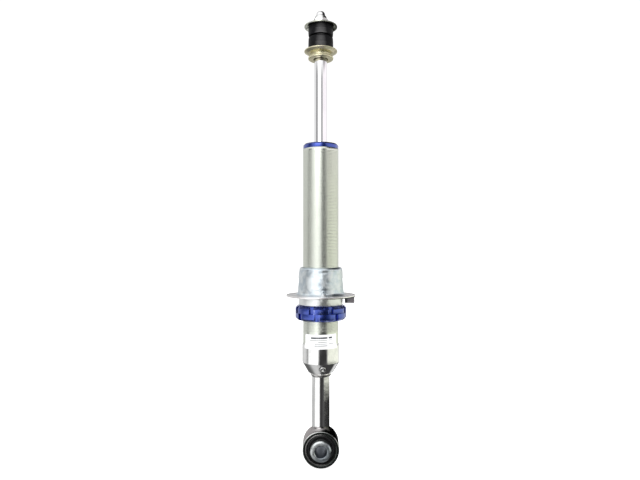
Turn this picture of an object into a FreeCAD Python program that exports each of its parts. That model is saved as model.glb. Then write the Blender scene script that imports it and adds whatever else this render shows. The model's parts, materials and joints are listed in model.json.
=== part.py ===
import FreeCAD, Part
import math
import os

# Height-adjustable monotube strut for the front of an off-road vehicle, shown fully extended
# and without its coil spring. Millimetres. The origin is the centre of the lower eye's bolt hole,
# +Z runs up the strut's axis, the lower bolt lies along Y, and the gas port faces -Y.

# ---- Driving dimensions ----------------------------------------------------------------------
BODY_RADIUS = 25.0
BODY_BORE_RADIUS = 22.5
ROD_RADIUS = 9.0
STUD_RADIUS = 6.0
BOLT_HOLE_RADIUS = 8.15
STEM_RADIUS = 12.5

STEM_TOP = 104.4
BODY_TOP = 417.5
SEAT_UNDERSIDE = 210.6
ROD_SHOULDER = 549.0
UPPER_JOINT = 576.1

SLIDING_GAP = 0.05
FACE_GAP = 0.1
ROD_CLEARANCE = 0.5
EDGE_BREAK = 1.0
CUT_OVERRUN = 1.0
NUT_CORNER_SHARE = 0.8

# ---- Lower eye -------------------------------------------------------------------------------
EYE_RADIUS = 25.5
EYE_BORE_RADIUS = 21.5
EYE_HALF_WIDTH = 17.0
EYE_CHAMFER = 1.0
BUSH_SHELL_WALL = 1.2
BUSH_SHELL_HALF_WIDTH = 16.4
SLEEVE_RADIUS = 14.4
SLEEVE_HALF_LENGTH = 24.3
SLEEVE_CHAMFER = 1.0
RUBBER_EDGE_HALF_WIDTH = 14.8
RUBBER_WAIST_HALF_WIDTH = 13.2
EYE_WELD_LEG = 4.2

# ---- Base cup --------------------------------------------------------------------------------
CUP_RADIUS = 26.25
CUP_FOOT_RADIUS = 17.65
CUP_CONE_HEIGHT = 14.6
CUP_HEIGHT = 40.2
CUP_TOP_CHAMFER = 1.0
CUP_FLOOR_RADIUS = 14.0
CUP_FLOOR_HEIGHT = 6.6
TUBE_FOOT_RISE = 3.0
CUP_FLOOR = STEM_TOP + CUP_FLOOR_HEIGHT
CUP_CONE_TOP = STEM_TOP + CUP_CONE_HEIGHT
CUP_TOP = STEM_TOP + CUP_HEIGHT
TUBE_FOOT = CUP_CONE_TOP + TUBE_FOOT_RISE
STEM_WELD_HEIGHT = 5.6
STEM_WELD_RADIUS = 14.6
STEM_WELD_TOE = 0.4
STEM_WELD_CROWN_DEPTH = 3.1

# ---- Gas charging port -----------------------------------------------------------------------
PORT_HEIGHT_ON_CONE = 7.6
PORT_TURN = 6.5
PORT_HOLE_RADIUS = 3.0
PORT_RECESS_RADIUS = 5.2
PORT_RECESS_DEPTH = 1.2
PLUG_HEAD_RADIUS = 4.5
PLUG_HEAD_HEIGHT = 2.0
PLUG_SHANK_LENGTH = 4.2
PLUG_EDGE = 0.6
PLUG_SOCKET_ACROSS_FLATS = 3.0
PORT_SEAL_RADIUS = 4.9
PORT_SEAL_HEIGHT = 0.9

# ---- Rating label ----------------------------------------------------------------------------
LABEL_THICKNESS = 0.12
LABEL_BOTTOM = 140.0
LABEL_TOP = 160.5
LABEL_SPAN = 116.0
LABEL_CLEARANCE = 0.02
LABEL_LANDING = 4.0
LABEL_KINK = 0.1

# ---- End cap, rod guide and seals ------------------------------------------------------------
CAP_HEAD_HEIGHT = 7.0
CAP_RADIUS = 24.8
CAP_CHAMFER = 2.0
CAP_SPIGOT_LENGTH = 29.5
CAP_BOTTOM = BODY_TOP - CAP_SPIGOT_LENGTH
CAP_TOP = BODY_TOP + CAP_HEAD_HEIGHT
SEAL_POCKET_RADIUS = 13.0
SEAL_BOTTOM = CAP_BOTTOM + 23.0
SEAL_HEIGHT = 6.0
SEAL_WASHER_HEIGHT = 2.0
SEAL_WASHER_CLEARANCE = 0.3
SEAL_GROOVE_HALF_WIDTH = 0.6
WIPER_LIP = 0.8
WIPER_RECESS = 0.4
WIPER_LIP_FOOT = 1.6
WIPER_LIP_EDGE = 0.6
GUIDE_BUSH_RADIUS = 10.5
GUIDE_BUSH_BOTTOM = CAP_BOTTOM + 4.0
GUIDE_BUSH_TOP = CAP_BOTTOM + 20.0
CAP_GROOVE_BOTTOM = CAP_BOTTOM + 7.0
GROOVE_HEIGHT = 3.2
ORING_SECTION_RADIUS = 1.3

# ---- Rod and damping piston ------------------------------------------------------------------
PISTON_SHOULDER = 372.0
PISTON_RADIUS = 22.25
PISTON_HEIGHT = 15.0
STOP_WASHER_HEIGHT = 2.4
STOP_WASHER_RADIUS = 11.0
SHIM_HEIGHT = 0.4
SHIM_RADII = (19.5, 19.5, 17.5, 15.5, 13.5, 12.0)
PISTON_PORT_COUNT = 8
PISTON_PORT_RADIUS = 2.2
PISTON_PORT_CIRCLE = 15.5
BAND_HEIGHT = 10.0
BAND_WALL = 1.6
PISTON_NUT_HEIGHT = 10.0
PISTON_NUT_ACROSS_FLATS = 19.0
ROD_STUD_OVERHANG = 1.5
ROD_SHOULDER_CHAMFER = 0.5
BUMPER_HEIGHT = 10.0
BUMPER_RADIUS = 15.0
BUMPER_EDGE = 2.0
BUMPER_WASHER_HEIGHT = 1.5
CLIP_RISE = 2.5
CLIP_HEIGHT = 1.5
CLIP_GROOVE_DEPTH = 1.0
CLIP_RADIUS = 12.0
CLIP_MOUTH = 40.0
ROD_TIP = 613.1
ROD_TIP_CHAMFER = 2.6

# ---- Floating piston -------------------------------------------------------------------------
FLOATING_PISTON_BOTTOM = 215.0
FLOATING_PISTON_HEIGHT = 20.0
FLOATING_PISTON_RADIUS = 22.3
FLOATING_DISH_RADIUS = 15.0
FLOATING_DISH_DEPTH = 9.0
FLOATING_DISH_TAPER = 2.0
FLOATING_RING_RISE = 5.0
FLOATING_BAND_RISE = 11.0
FLOATING_BAND_HEIGHT = 4.0

# ---- Upper mounting --------------------------------------------------------------------------
SPACER_RECESS_DEPTH = 4.4
SPACER_WALL = 4.0
SPACER_FLANGE_HEIGHT = 3.7
SPACER_NECK_RADIUS = 14.0
SPACER_BOTTOM = ROD_SHOULDER - SPACER_RECESS_DEPTH
SPACER_RADIUS = 17.8
SPACER_RECESS_RADIUS = 10.4
SPACER_CHAMFER = 0.9
WASHER_RADIUS = 23.3
WASHER_SHEET = 2.4
WASHER_RIM_HEIGHT = 4.0
WASHER_LIP_HEIGHT = 1.4
WASHER_FLAT_RADIUS = 18.4
LOWER_WASHER_BOTTOM = ROD_SHOULDER + SPACER_WALL
BUSH_RADIUS = 17.5
UPPER_BUSH_HEIGHT = 14.6
BUSH_EDGE = 1.2
BUSH_GROOVE_HEIGHT = 2.2
BUSH_SPIGOT_RADIUS = 13.5
CRUSH_SLEEVE_RADIUS = 8.5
STUD_HOLE_RADIUS = 6.1
NUT_ACROSS_FLATS = 18.0
NUT_HEX_HEIGHT = 8.0
NUT_HEIGHT = 12.0
NUT_COLLAR_RADIUS = 8.3
NUT_INSERT_RADIUS = 7.2
NUT_INSERT_HEIGHT = 3.0
NUT_LIP = 0.5
NUT_COLLAR_EDGE = 0.6
NUT_COLLAR_SHOULDER = 1.0
NUT_COLLAR_BULGE = (0.7, 0.9)
NUT_TURN = 12.0

# ---- Spring seat and its adjusters -----------------------------------------------------------
RING_RADIUS = 36.0
RING_HEIGHT = 9.8
RING_CHAMFER = 3.0
SLOT_COUNT = 8
SLOT_WIDTH = 6.5
SLOT_DEPTH = 3.3
ADJUSTER_SLOT_TURN = 23.2
LOCK_SLOT_TURN = -8.5
COLLAR_RADIUS = 31.0
COLLAR_HEIGHT = 12.2
COLLAR_CHAMFER = 1.5
COLLAR_BOTTOM = SEAT_UNDERSIDE - COLLAR_HEIGHT
CARRIER_SLEEVE_RADIUS = 26.4
SEAT_SHEET = 2.5
SEAT_FLANGE_RADIUS = 48.8
SEAT_TOP = SEAT_UNDERSIDE + 41.0
SEAT_TOP_RADIUS = 29.7
SEAT_FOOT_RADIUS = 32.6
SEAT_TOP_CORNER = 3.6
SEAT_FOOT_BEND = 4.0
SEAT_HOLE_RADIUS = 25.6
TAB_INNER_X = 33.8
TAB_OUTER_X = 47.6
TAB_DROP = 9.8
STOP_TURN = 5.5
STOP_SPAN = 12.0
STOP_HEIGHT = 4.0
STOP_INNER_RADIUS = 36.0
STOP_OUTER_RADIUS = 46.0
STOP_TAPER = 1.0
SEAT_INNER_EASE = 0.4

ORIGIN = FreeCAD.Vector(0, 0, 0)
X_AXIS = FreeCAD.Vector(1, 0, 0)
Z_AXIS = FreeCAD.Vector(0, 0, 1)
FULL_TURN = 360.0
FRONT = -90.0


# ---- Shape helpers ---------------------------------------------------------------------------
def face_of(*steps):
    """A flat face in the r-z half plane. A step is a point (r, z), or an arc's (middle, end)."""
    start = FreeCAD.Vector(steps[0][0], 0, steps[0][1])
    last = start
    edges = []
    for step in steps[1:]:
        if isinstance(step[0], tuple):
            middle, end = [FreeCAD.Vector(r, 0, z) for r, z in step]
            edges.append(Part.Arc(last, middle, end).toShape())
        else:
            end = FreeCAD.Vector(step[0], 0, step[1])
            edges.append(Part.makeLine(last, end))
        last = end
    edges.append(Part.makeLine(last, start))
    return Part.Face(Part.Wire(edges))


def turned(*steps):
    """The solid that an outline sweeps in one full turn about the strut's axis."""
    return face_of(*steps).revolve(ORIGIN, Z_AXIS, FULL_TURN)


def sector(middle_turn, span, *steps):
    """As turned, but only a span of degrees, centred on a turn counted from the front."""
    solid = face_of(*steps).revolve(ORIGIN, Z_AXIS, span)
    solid.rotate(ORIGIN, Z_AXIS, FRONT + middle_turn - span / 2)
    return solid


def ring(inner, outer, bottom, top, edge=0.0):
    """A plain ring, with its two outer edges chamfered by edge."""
    if not edge:
        return turned((inner, bottom), (outer, bottom), (outer, top), (inner, top))
    return turned(
        (inner, bottom),
        (outer - edge, bottom),
        (outer, bottom + edge),
        (outer, top - edge),
        (outer - edge, top),
        (inner, top),
    )


def rounded_ring(inner, outer, bottom, top, edge):
    """A plain ring, with its two outer edges rounded by edge."""
    nook = edge * (1 - math.sqrt(0.5))
    return turned(
        (inner, bottom),
        (outer - edge, bottom),
        ((outer - nook, bottom + nook), (outer, bottom + edge)),
        (outer, top - edge),
        ((outer - nook, top - nook), (outer - edge, top)),
        (inner, top),
    )


def disc(radius, bottom, top, edge=0.0):
    return ring(0, radius, bottom, top, edge)


def o_ring(centre_radius, section_radius, height):
    return Part.makeTorus(centre_radius, section_radius, FreeCAD.Vector(0, 0, height), Z_AXIS)


def hexagon(across_flats, bottom, top):
    """A hexagonal bar with its corners turned away at both ends, as a nut has."""
    corner = across_flats / math.sqrt(3)
    angles = [math.radians(60 * k) for k in range(6)]
    points = [FreeCAD.Vector(corner * math.cos(a), corner * math.sin(a), bottom) for a in angles]
    bar = Part.Face(Part.makePolygon(points + points[:1])).extrude(Z_AXIS * (top - bottom))
    return bar.common(disc(corner, bottom, top, (corner - across_flats / 2) * NUT_CORNER_SHARE))


def across_bolt(shape):
    """Turns a shape made about the strut's axis onto the lower bolt's axis."""
    shape.rotate(ORIGIN, X_AXIS, -90)
    return shape


def turned_by(shape, degrees):
    shape.rotate(ORIGIN, Z_AXIS, degrees)
    return shape


# ---- Lower eye -------------------------------------------------------------------------------
def eye_cylinder():
    return across_bolt(disc(EYE_RADIUS, -EYE_HALF_WIDTH, EYE_HALF_WIDTH))


def stem_bar():
    return disc(STEM_RADIUS, EYE_RADIUS / 2, STEM_TOP)


def eye_ring():
    return across_bolt(
        ring(EYE_BORE_RADIUS, EYE_RADIUS, -EYE_HALF_WIDTH, EYE_HALF_WIDTH, EYE_CHAMFER)
    )


def bush_outer_shell():
    inner = EYE_BORE_RADIUS - BUSH_SHELL_WALL
    return across_bolt(
        ring(inner, EYE_BORE_RADIUS, -BUSH_SHELL_HALF_WIDTH, BUSH_SHELL_HALF_WIDTH)
    )


def bush_rubber():
    """Bonded rubber whose two faces are dished between the shell and the sleeve."""
    inner = SLEEVE_RADIUS + SLIDING_GAP
    outer = EYE_BORE_RADIUS - BUSH_SHELL_WALL
    middle = (inner + outer) / 2
    edge = RUBBER_EDGE_HALF_WIDTH
    waist = RUBBER_WAIST_HALF_WIDTH
    return across_bolt(
        turned(
            (inner, -edge),
            ((middle, -waist), (outer, -edge)),
            (outer, edge),
            ((middle, waist), (inner, edge)),
        )
    )


def eye_sleeve():
    length = SLEEVE_HALF_LENGTH
    return across_bolt(ring(BOLT_HOLE_RADIUS, SLEEVE_RADIUS, -length, length, SLEEVE_CHAMFER))


def lower_stem():
    return stem_bar().cut(eye_cylinder())


def eye_weld():
    """The fillet weld that runs round the stem where it stands on the eye."""
    joined = stem_bar().fuse(eye_cylinder()).removeSplitter()
    seams = []
    for edge in joined.Edges:
        box = edge.BoundBox
        on_stem = abs(box.XMax - STEM_RADIUS) < SLIDING_GAP and box.ZMin > EYE_RADIUS / 2
        if on_stem and box.ZMax < STEM_TOP / 2:
            seams.append(edge)
    filleted = joined.makeFillet(EYE_WELD_LEG, seams)
    return filleted.cut(eye_cylinder()).cut(stem_bar())


def stem_weld():
    """The weld collar under the base cup."""
    bottom = STEM_TOP - STEM_WELD_HEIGHT
    middle = (STEM_WELD_RADIUS, STEM_TOP - STEM_WELD_CROWN_DEPTH)
    return turned(
        (STEM_RADIUS, bottom),
        (STEM_RADIUS + STEM_WELD_TOE, bottom),
        (middle, (STEM_WELD_RADIUS - STEM_WELD_TOE, STEM_TOP)),
        (STEM_RADIUS, STEM_TOP),
    )


# ---- Base cup and gas port -------------------------------------------------------------------
def at_port(shape):
    """Moves a shape from the origin to the port: +Z becomes the cone's outward normal there."""
    spread = CUP_RADIUS - CUP_FOOT_RADIUS
    lean = math.atan2(spread, CUP_CONE_HEIGHT)
    radius = CUP_FOOT_RADIUS + spread * PORT_HEIGHT_ON_CONE / CUP_CONE_HEIGHT
    turn = math.radians(FRONT + PORT_TURN)
    outward = FreeCAD.Vector(math.cos(turn), math.sin(turn), 0)
    normal = outward * math.cos(lean) - Z_AXIS * math.sin(lean)
    place = outward * radius + Z_AXIS * (STEM_TOP + PORT_HEIGHT_ON_CONE)
    shape.Placement = FreeCAD.Placement(place, FreeCAD.Rotation(Z_AXIS, normal))
    return shape


def base_cup():
    cup = turned(
        (0, STEM_TOP),
        (CUP_FOOT_RADIUS, STEM_TOP),
        (CUP_RADIUS, CUP_CONE_TOP),
        (CUP_RADIUS, CUP_TOP - CUP_TOP_CHAMFER),
        (CUP_RADIUS - CUP_TOP_CHAMFER, CUP_TOP),
        (BODY_RADIUS, CUP_TOP),
        (BODY_RADIUS, TUBE_FOOT),
        (BODY_BORE_RADIUS, TUBE_FOOT),
        (BODY_BORE_RADIUS, CUP_CONE_TOP),
        (CUP_FLOOR_RADIUS, CUP_FLOOR),
        (0, CUP_FLOOR),
    )
    drilled = at_port(disc(PORT_HOLE_RADIUS, -CUP_RADIUS / 2, CUP_RADIUS / 2))
    recess = at_port(disc(PORT_RECESS_RADIUS, -PORT_RECESS_DEPTH, CUP_RADIUS / 2))
    return cup.cut(drilled).cut(recess)


def gas_port_seal():
    bottom = -PORT_RECESS_DEPTH
    return at_port(
        ring(PORT_HOLE_RADIUS, PORT_SEAL_RADIUS, bottom, bottom + PORT_SEAL_HEIGHT)
    )


def gas_port_plug():
    """A low-head socket screw that closes the gas chamber."""
    under_head = PORT_SEAL_HEIGHT - PORT_RECESS_DEPTH
    head = disc(PLUG_HEAD_RADIUS, under_head, under_head + PLUG_HEAD_HEIGHT, PLUG_EDGE)
    shank = disc(PORT_HOLE_RADIUS - SLIDING_GAP, under_head - PLUG_SHANK_LENGTH, under_head)
    top = under_head + PLUG_HEAD_HEIGHT
    corner = PLUG_SOCKET_ACROSS_FLATS / math.sqrt(3)
    angles = [math.radians(60 * k) for k in range(6)]
    points = [FreeCAD.Vector(corner * math.cos(a), corner * math.sin(a), top) for a in angles]
    socket = Part.Face(Part.makePolygon(points + points[:1])).extrude(Z_AXIS * -PLUG_HEAD_HEIGHT)
    return at_port(head.fuse(shank).cut(socket).removeSplitter())


# ---- Body tube, label and end cap ------------------------------------------------------------
def body_tube():
    return ring(BODY_BORE_RADIUS, BODY_RADIUS, TUBE_FOOT, BODY_TOP)


def label():
    """A thin self-adhesive sheet that crosses the step from the cup to the tube."""
    low = CUP_RADIUS + LABEL_CLEARANCE
    high = BODY_RADIUS + LABEL_CLEARANCE
    step = CUP_TOP - CUP_TOP_CHAMFER
    landing = CUP_TOP + LABEL_LANDING
    return sector(
        0,
        LABEL_SPAN,
        (low, LABEL_BOTTOM),
        (low + LABEL_THICKNESS, LABEL_BOTTOM),
        (low + LABEL_THICKNESS, step + LABEL_KINK),
        (high + LABEL_THICKNESS, landing + LABEL_KINK),
        (high + LABEL_THICKNESS, LABEL_TOP),
        (high, LABEL_TOP),
        (high, landing),
        (low, step),
    )


def end_cap():
    """The screwed-in cap: rod guide below, seal pocket above, and a spanner-wide head."""
    rod_hole = ROD_RADIUS + ROD_CLEARANCE
    spigot = BODY_BORE_RADIUS
    groove = spigot - ORING_SECTION_RADIUS * 2
    return turned(
        (rod_hole, CAP_BOTTOM),
        (spigot - EDGE_BREAK, CAP_BOTTOM),
        (spigot, CAP_BOTTOM + EDGE_BREAK),
        (spigot, CAP_GROOVE_BOTTOM),
        (groove, CAP_GROOVE_BOTTOM),
        (groove, CAP_GROOVE_BOTTOM + GROOVE_HEIGHT),
        (spigot, CAP_GROOVE_BOTTOM + GROOVE_HEIGHT),
        (spigot, BODY_TOP),
        (CAP_RADIUS, BODY_TOP),
        (CAP_RADIUS, CAP_TOP - CAP_CHAMFER),
        (CAP_RADIUS - CAP_CHAMFER, CAP_TOP),
        (SEAL_POCKET_RADIUS, CAP_TOP),
        (SEAL_POCKET_RADIUS, SEAL_BOTTOM),
        (rod_hole, SEAL_BOTTOM),
        (rod_hole, GUIDE_BUSH_TOP),
        (GUIDE_BUSH_RADIUS, GUIDE_BUSH_TOP),
        (GUIDE_BUSH_RADIUS, GUIDE_BUSH_BOTTOM),
        (rod_hole, GUIDE_BUSH_BOTTOM),
    )


def end_cap_oring():
    radius = BODY_BORE_RADIUS - ORING_SECTION_RADIUS
    return o_ring(radius, ORING_SECTION_RADIUS, CAP_GROOVE_BOTTOM + GROOVE_HEIGHT / 2)


def rod_guide_bush():
    return ring(ROD_RADIUS + SLIDING_GAP, GUIDE_BUSH_RADIUS, GUIDE_BUSH_BOTTOM, GUIDE_BUSH_TOP)


def rod_seal():
    """A lip seal: the groove between its lips opens towards the oil."""
    inner = ROD_RADIUS + SLIDING_GAP
    outer = SEAL_POCKET_RADIUS
    middle = (inner + outer) / 2
    return turned(
        (inner, SEAL_BOTTOM),
        (middle - SEAL_GROOVE_HALF_WIDTH, SEAL_BOTTOM),
        (
            (middle, SEAL_BOTTOM + SEAL_HEIGHT / 2),
            (middle + SEAL_GROOVE_HALF_WIDTH, SEAL_BOTTOM),
        ),
        (outer, SEAL_BOTTOM),
        (outer, SEAL_BOTTOM + SEAL_HEIGHT),
        (inner, SEAL_BOTTOM + SEAL_HEIGHT),
    )


def seal_washer():
    bottom = SEAL_BOTTOM + SEAL_HEIGHT
    inner = ROD_RADIUS + SEAL_WASHER_CLEARANCE
    return ring(inner, SEAL_POCKET_RADIUS, bottom, bottom + SEAL_WASHER_HEIGHT)


def rod_wiper():
    """The scraper in the cap's mouth, with a lip that stands proud round the rod."""
    inner = ROD_RADIUS + SLIDING_GAP
    bottom = SEAL_BOTTOM + SEAL_HEIGHT + SEAL_WASHER_HEIGHT
    return turned(
        (inner, bottom),
        (SEAL_POCKET_RADIUS, bottom),
        (SEAL_POCKET_RADIUS, CAP_TOP - WIPER_RECESS),
        (inner + WIPER_LIP_FOOT, CAP_TOP - WIPER_RECESS),
        (inner + WIPER_LIP_EDGE, CAP_TOP + WIPER_LIP),
        (inner, CAP_TOP + WIPER_LIP),
    )


# ---- Rod and damping piston ------------------------------------------------------------------
CLIP_BOTTOM = PISTON_SHOULDER + CLIP_RISE
BUMPER_WASHER_BOTTOM = CLIP_BOTTOM + CLIP_HEIGHT
BUMPER_BOTTOM = BUMPER_WASHER_BOTTOM + BUMPER_WASHER_HEIGHT
SHIM_STACK_HEIGHT = SHIM_HEIGHT * len(SHIM_RADII)
PISTON_TOP = PISTON_SHOULDER - STOP_WASHER_HEIGHT - SHIM_STACK_HEIGHT
PISTON_BOTTOM = PISTON_TOP - PISTON_HEIGHT
LOWER_STOP_TOP = PISTON_BOTTOM - SHIM_STACK_HEIGHT
PISTON_NUT_TOP = LOWER_STOP_TOP - STOP_WASHER_HEIGHT
PISTON_NUT_BOTTOM = PISTON_NUT_TOP - PISTON_NUT_HEIGHT
ROD_BOTTOM = PISTON_NUT_BOTTOM - ROD_STUD_OVERHANG


def piston_rod():
    """One ground bar: a stud for the piston below, a clip groove, and a stud for the mount above."""
    groove = ROD_RADIUS - CLIP_GROOVE_DEPTH
    return turned(
        (0, ROD_BOTTOM),
        (STUD_RADIUS - EDGE_BREAK, ROD_BOTTOM),
        (STUD_RADIUS, ROD_BOTTOM + EDGE_BREAK),
        (STUD_RADIUS, PISTON_SHOULDER),
        (ROD_RADIUS, PISTON_SHOULDER),
        (ROD_RADIUS, CLIP_BOTTOM),
        (groove, CLIP_BOTTOM),
        (groove, CLIP_BOTTOM + CLIP_HEIGHT),
        (ROD_RADIUS, CLIP_BOTTOM + CLIP_HEIGHT),
        (ROD_RADIUS, ROD_SHOULDER - ROD_SHOULDER_CHAMFER),
        (ROD_RADIUS - ROD_SHOULDER_CHAMFER, ROD_SHOULDER),
        (STUD_RADIUS, ROD_SHOULDER),
        (STUD_RADIUS, ROD_TIP - ROD_TIP_CHAMFER),
        (STUD_RADIUS - ROD_TIP_CHAMFER, ROD_TIP),
        (0, ROD_TIP),
    )


def piston():
    """The damping piston, with a groove for its band and a circle of oil ports."""
    middle = (PISTON_TOP + PISTON_BOTTOM) / 2
    low = middle - BAND_HEIGHT / 2 - SLIDING_GAP
    high = middle + BAND_HEIGHT / 2 + SLIDING_GAP
    groove = PISTON_RADIUS - BAND_WALL
    body = turned(
        (STUD_RADIUS, PISTON_BOTTOM),
        (PISTON_RADIUS, PISTON_BOTTOM),
        (PISTON_RADIUS, low),
        (groove, low),
        (groove, high),
        (PISTON_RADIUS, high),
        (PISTON_RADIUS, PISTON_TOP),
        (STUD_RADIUS, PISTON_TOP),
    )
    for k in range(PISTON_PORT_COUNT):
        port = disc(PISTON_PORT_RADIUS, PISTON_BOTTOM - CUT_OVERRUN, PISTON_TOP + CUT_OVERRUN)
        port.translate(FreeCAD.Vector(PISTON_PORT_CIRCLE, 0, 0))
        body = body.cut(turned_by(port, FULL_TURN * k / PISTON_PORT_COUNT))
    return body


def piston_band():
    middle = (PISTON_TOP + PISTON_BOTTOM) / 2
    inner = PISTON_RADIUS - BAND_WALL + SLIDING_GAP
    outer = BODY_BORE_RADIUS - SLIDING_GAP
    return ring(inner, outer, middle - BAND_HEIGHT / 2, middle + BAND_HEIGHT / 2)


def shim_stack(face, direction):
    """Thin spring discs that get smaller away from the piston's face, as separate solids."""
    discs = []
    for k, radius in enumerate(SHIM_RADII):
        near = face + direction * SHIM_HEIGHT * k
        far = near + direction * SHIM_HEIGHT
        discs.append(ring(STUD_RADIUS, radius, min(near, far), max(near, far)))
    return Part.Compound(discs)


def compression_shims():
    return shim_stack(PISTON_TOP, 1)


def rebound_shims():
    return shim_stack(PISTON_BOTTOM, -1)


def upper_stop_washer():
    bottom = PISTON_SHOULDER - STOP_WASHER_HEIGHT
    return ring(STUD_RADIUS, STOP_WASHER_RADIUS, bottom, PISTON_SHOULDER)


def lower_stop_washer():
    return ring(STUD_RADIUS, STOP_WASHER_RADIUS, PISTON_NUT_TOP, LOWER_STOP_TOP)


def piston_nut():
    nut = hexagon(PISTON_NUT_ACROSS_FLATS, PISTON_NUT_BOTTOM, PISTON_NUT_TOP)
    bore = disc(STUD_RADIUS, PISTON_NUT_BOTTOM - CUT_OVERRUN, PISTON_NUT_TOP + CUT_OVERRUN)
    return nut.cut(bore)


def bumper_clip():
    """A spring ring in the rod's groove, open at the back so that it can be fitted."""
    inner = ROD_RADIUS - CLIP_GROOVE_DEPTH
    return sector(
        0,
        FULL_TURN - CLIP_MOUTH,
        (inner, CLIP_BOTTOM),
        (CLIP_RADIUS, CLIP_BOTTOM),
        (CLIP_RADIUS, CLIP_BOTTOM + CLIP_HEIGHT),
        (inner, CLIP_BOTTOM + CLIP_HEIGHT),
    )


def bumper_washer():
    return ring(ROD_RADIUS, BUMPER_RADIUS, BUMPER_WASHER_BOTTOM, BUMPER_BOTTOM)


def rebound_bumper():
    top = BUMPER_BOTTOM + BUMPER_HEIGHT
    return rounded_ring(ROD_RADIUS, BUMPER_RADIUS, BUMPER_BOTTOM, top, BUMPER_EDGE)


# ---- Floating piston -------------------------------------------------------------------------
FLOATING_RING_HEIGHT = FLOATING_PISTON_BOTTOM + FLOATING_RING_RISE
FLOATING_BAND_BOTTOM = FLOATING_PISTON_BOTTOM + FLOATING_BAND_RISE


def floating_piston():
    """The cup that keeps the gas below it from the oil above it."""
    bottom = FLOATING_PISTON_BOTTOM
    top = bottom + FLOATING_PISTON_HEIGHT
    radius = FLOATING_PISTON_RADIUS
    ring_groove = radius - ORING_SECTION_RADIUS * 2
    ring_low = FLOATING_RING_HEIGHT - GROOVE_HEIGHT / 2
    ring_high = FLOATING_RING_HEIGHT + GROOVE_HEIGHT / 2
    band_groove = radius - BAND_WALL
    band_high = FLOATING_BAND_BOTTOM + FLOATING_BAND_HEIGHT
    return turned(
        (0, bottom),
        (radius, bottom),
        (radius, ring_low),
        (ring_groove, ring_low),
        (ring_groove, ring_high),
        (radius, ring_high),
        (radius, FLOATING_BAND_BOTTOM),
        (band_groove, FLOATING_BAND_BOTTOM),
        (band_groove, band_high),
        (radius, band_high),
        (radius, top),
        (FLOATING_DISH_RADIUS, top),
        (FLOATING_DISH_RADIUS - FLOATING_DISH_TAPER, top - FLOATING_DISH_DEPTH),
        (0, top - FLOATING_DISH_DEPTH),
    )


def floating_piston_oring():
    radius = BODY_BORE_RADIUS - SLIDING_GAP - ORING_SECTION_RADIUS
    return o_ring(radius, ORING_SECTION_RADIUS, FLOATING_RING_HEIGHT)


def floating_piston_band():
    top = FLOATING_BAND_BOTTOM + FLOATING_BAND_HEIGHT
    inner = FLOATING_PISTON_RADIUS - BAND_WALL
    return ring(inner, BODY_BORE_RADIUS - SLIDING_GAP, FLOATING_BAND_BOTTOM, top)


# ---- Upper mounting --------------------------------------------------------------------------
LOWER_BUSH_BOTTOM = LOWER_WASHER_BOTTOM + WASHER_SHEET
LOWER_BUSH_TOP = UPPER_JOINT - BUSH_GROOVE_HEIGHT / 2
UPPER_BUSH_BOTTOM = UPPER_JOINT + BUSH_GROOVE_HEIGHT / 2
UPPER_BUSH_TOP = UPPER_BUSH_BOTTOM + UPPER_BUSH_HEIGHT
UPPER_WASHER_TOP = UPPER_BUSH_TOP + WASHER_SHEET
NUT_BOTTOM = UPPER_WASHER_TOP


def lower_spacer():
    """The flanged collar on the rod's shoulder, with a recess that the rod enters."""
    flange_top = SPACER_BOTTOM + SPACER_FLANGE_HEIGHT
    return turned(
        (SPACER_RECESS_RADIUS, SPACER_BOTTOM),
        (SPACER_RADIUS - SPACER_CHAMFER, SPACER_BOTTOM),
        (SPACER_RADIUS, SPACER_BOTTOM + SPACER_CHAMFER),
        (SPACER_RADIUS, flange_top),
        (SPACER_NECK_RADIUS, flange_top),
        (SPACER_NECK_RADIUS, LOWER_WASHER_BOTTOM),
        (STUD_HOLE_RADIUS, LOWER_WASHER_BOTTOM),
        (STUD_HOLE_RADIUS, ROD_SHOULDER),
        (SPACER_RECESS_RADIUS, ROD_SHOULDER),
    )


def cup_washer():
    """A pressed washer standing on z = 0: a flat middle and a rim that flares up and outwards."""
    cone_rise = WASHER_RIM_HEIGHT - WASHER_LIP_HEIGHT
    cone_run = WASHER_RADIUS - WASHER_FLAT_RADIUS
    flare = math.atan2(cone_rise, cone_run)
    inner_flat = WASHER_FLAT_RADIUS - WASHER_SHEET * math.tan(flare / 2)
    inner_rim = inner_flat + (WASHER_RIM_HEIGHT - WASHER_SHEET) / math.tan(flare)
    return turned(
        (STUD_HOLE_RADIUS, 0),
        (WASHER_FLAT_RADIUS, 0),
        (WASHER_RADIUS, cone_rise),
        (WASHER_RADIUS, WASHER_RIM_HEIGHT),
        (inner_rim, WASHER_RIM_HEIGHT),
        (inner_flat, WASHER_SHEET),
        (STUD_HOLE_RADIUS, WASHER_SHEET),
    )


def lower_cup_washer():
    washer = cup_washer()
    washer.translate(Z_AXIS * LOWER_WASHER_BOTTOM)
    return washer


def upper_cup_washer():
    washer = cup_washer()
    washer.rotate(ORIGIN, X_AXIS, 180)
    washer.translate(Z_AXIS * UPPER_WASHER_TOP)
    return washer


def lower_bush():
    """The bush under the chassis plate; its spigot passes through the plate's hole."""
    block = rounded_ring(
        CRUSH_SLEEVE_RADIUS, BUSH_RADIUS, LOWER_BUSH_BOTTOM, LOWER_BUSH_TOP, BUSH_EDGE
    )
    spigot = ring(CRUSH_SLEEVE_RADIUS, BUSH_SPIGOT_RADIUS, LOWER_BUSH_TOP, UPPER_BUSH_BOTTOM)
    return block.fuse(spigot).removeSplitter()


def upper_bush():
    return rounded_ring(
        CRUSH_SLEEVE_RADIUS, BUSH_RADIUS, UPPER_BUSH_BOTTOM, UPPER_BUSH_TOP, BUSH_EDGE
    )


def bush_crush_sleeve():
    return ring(STUD_HOLE_RADIUS, CRUSH_SLEEVE_RADIUS, LOWER_BUSH_BOTTOM, UPPER_BUSH_TOP)


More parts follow.
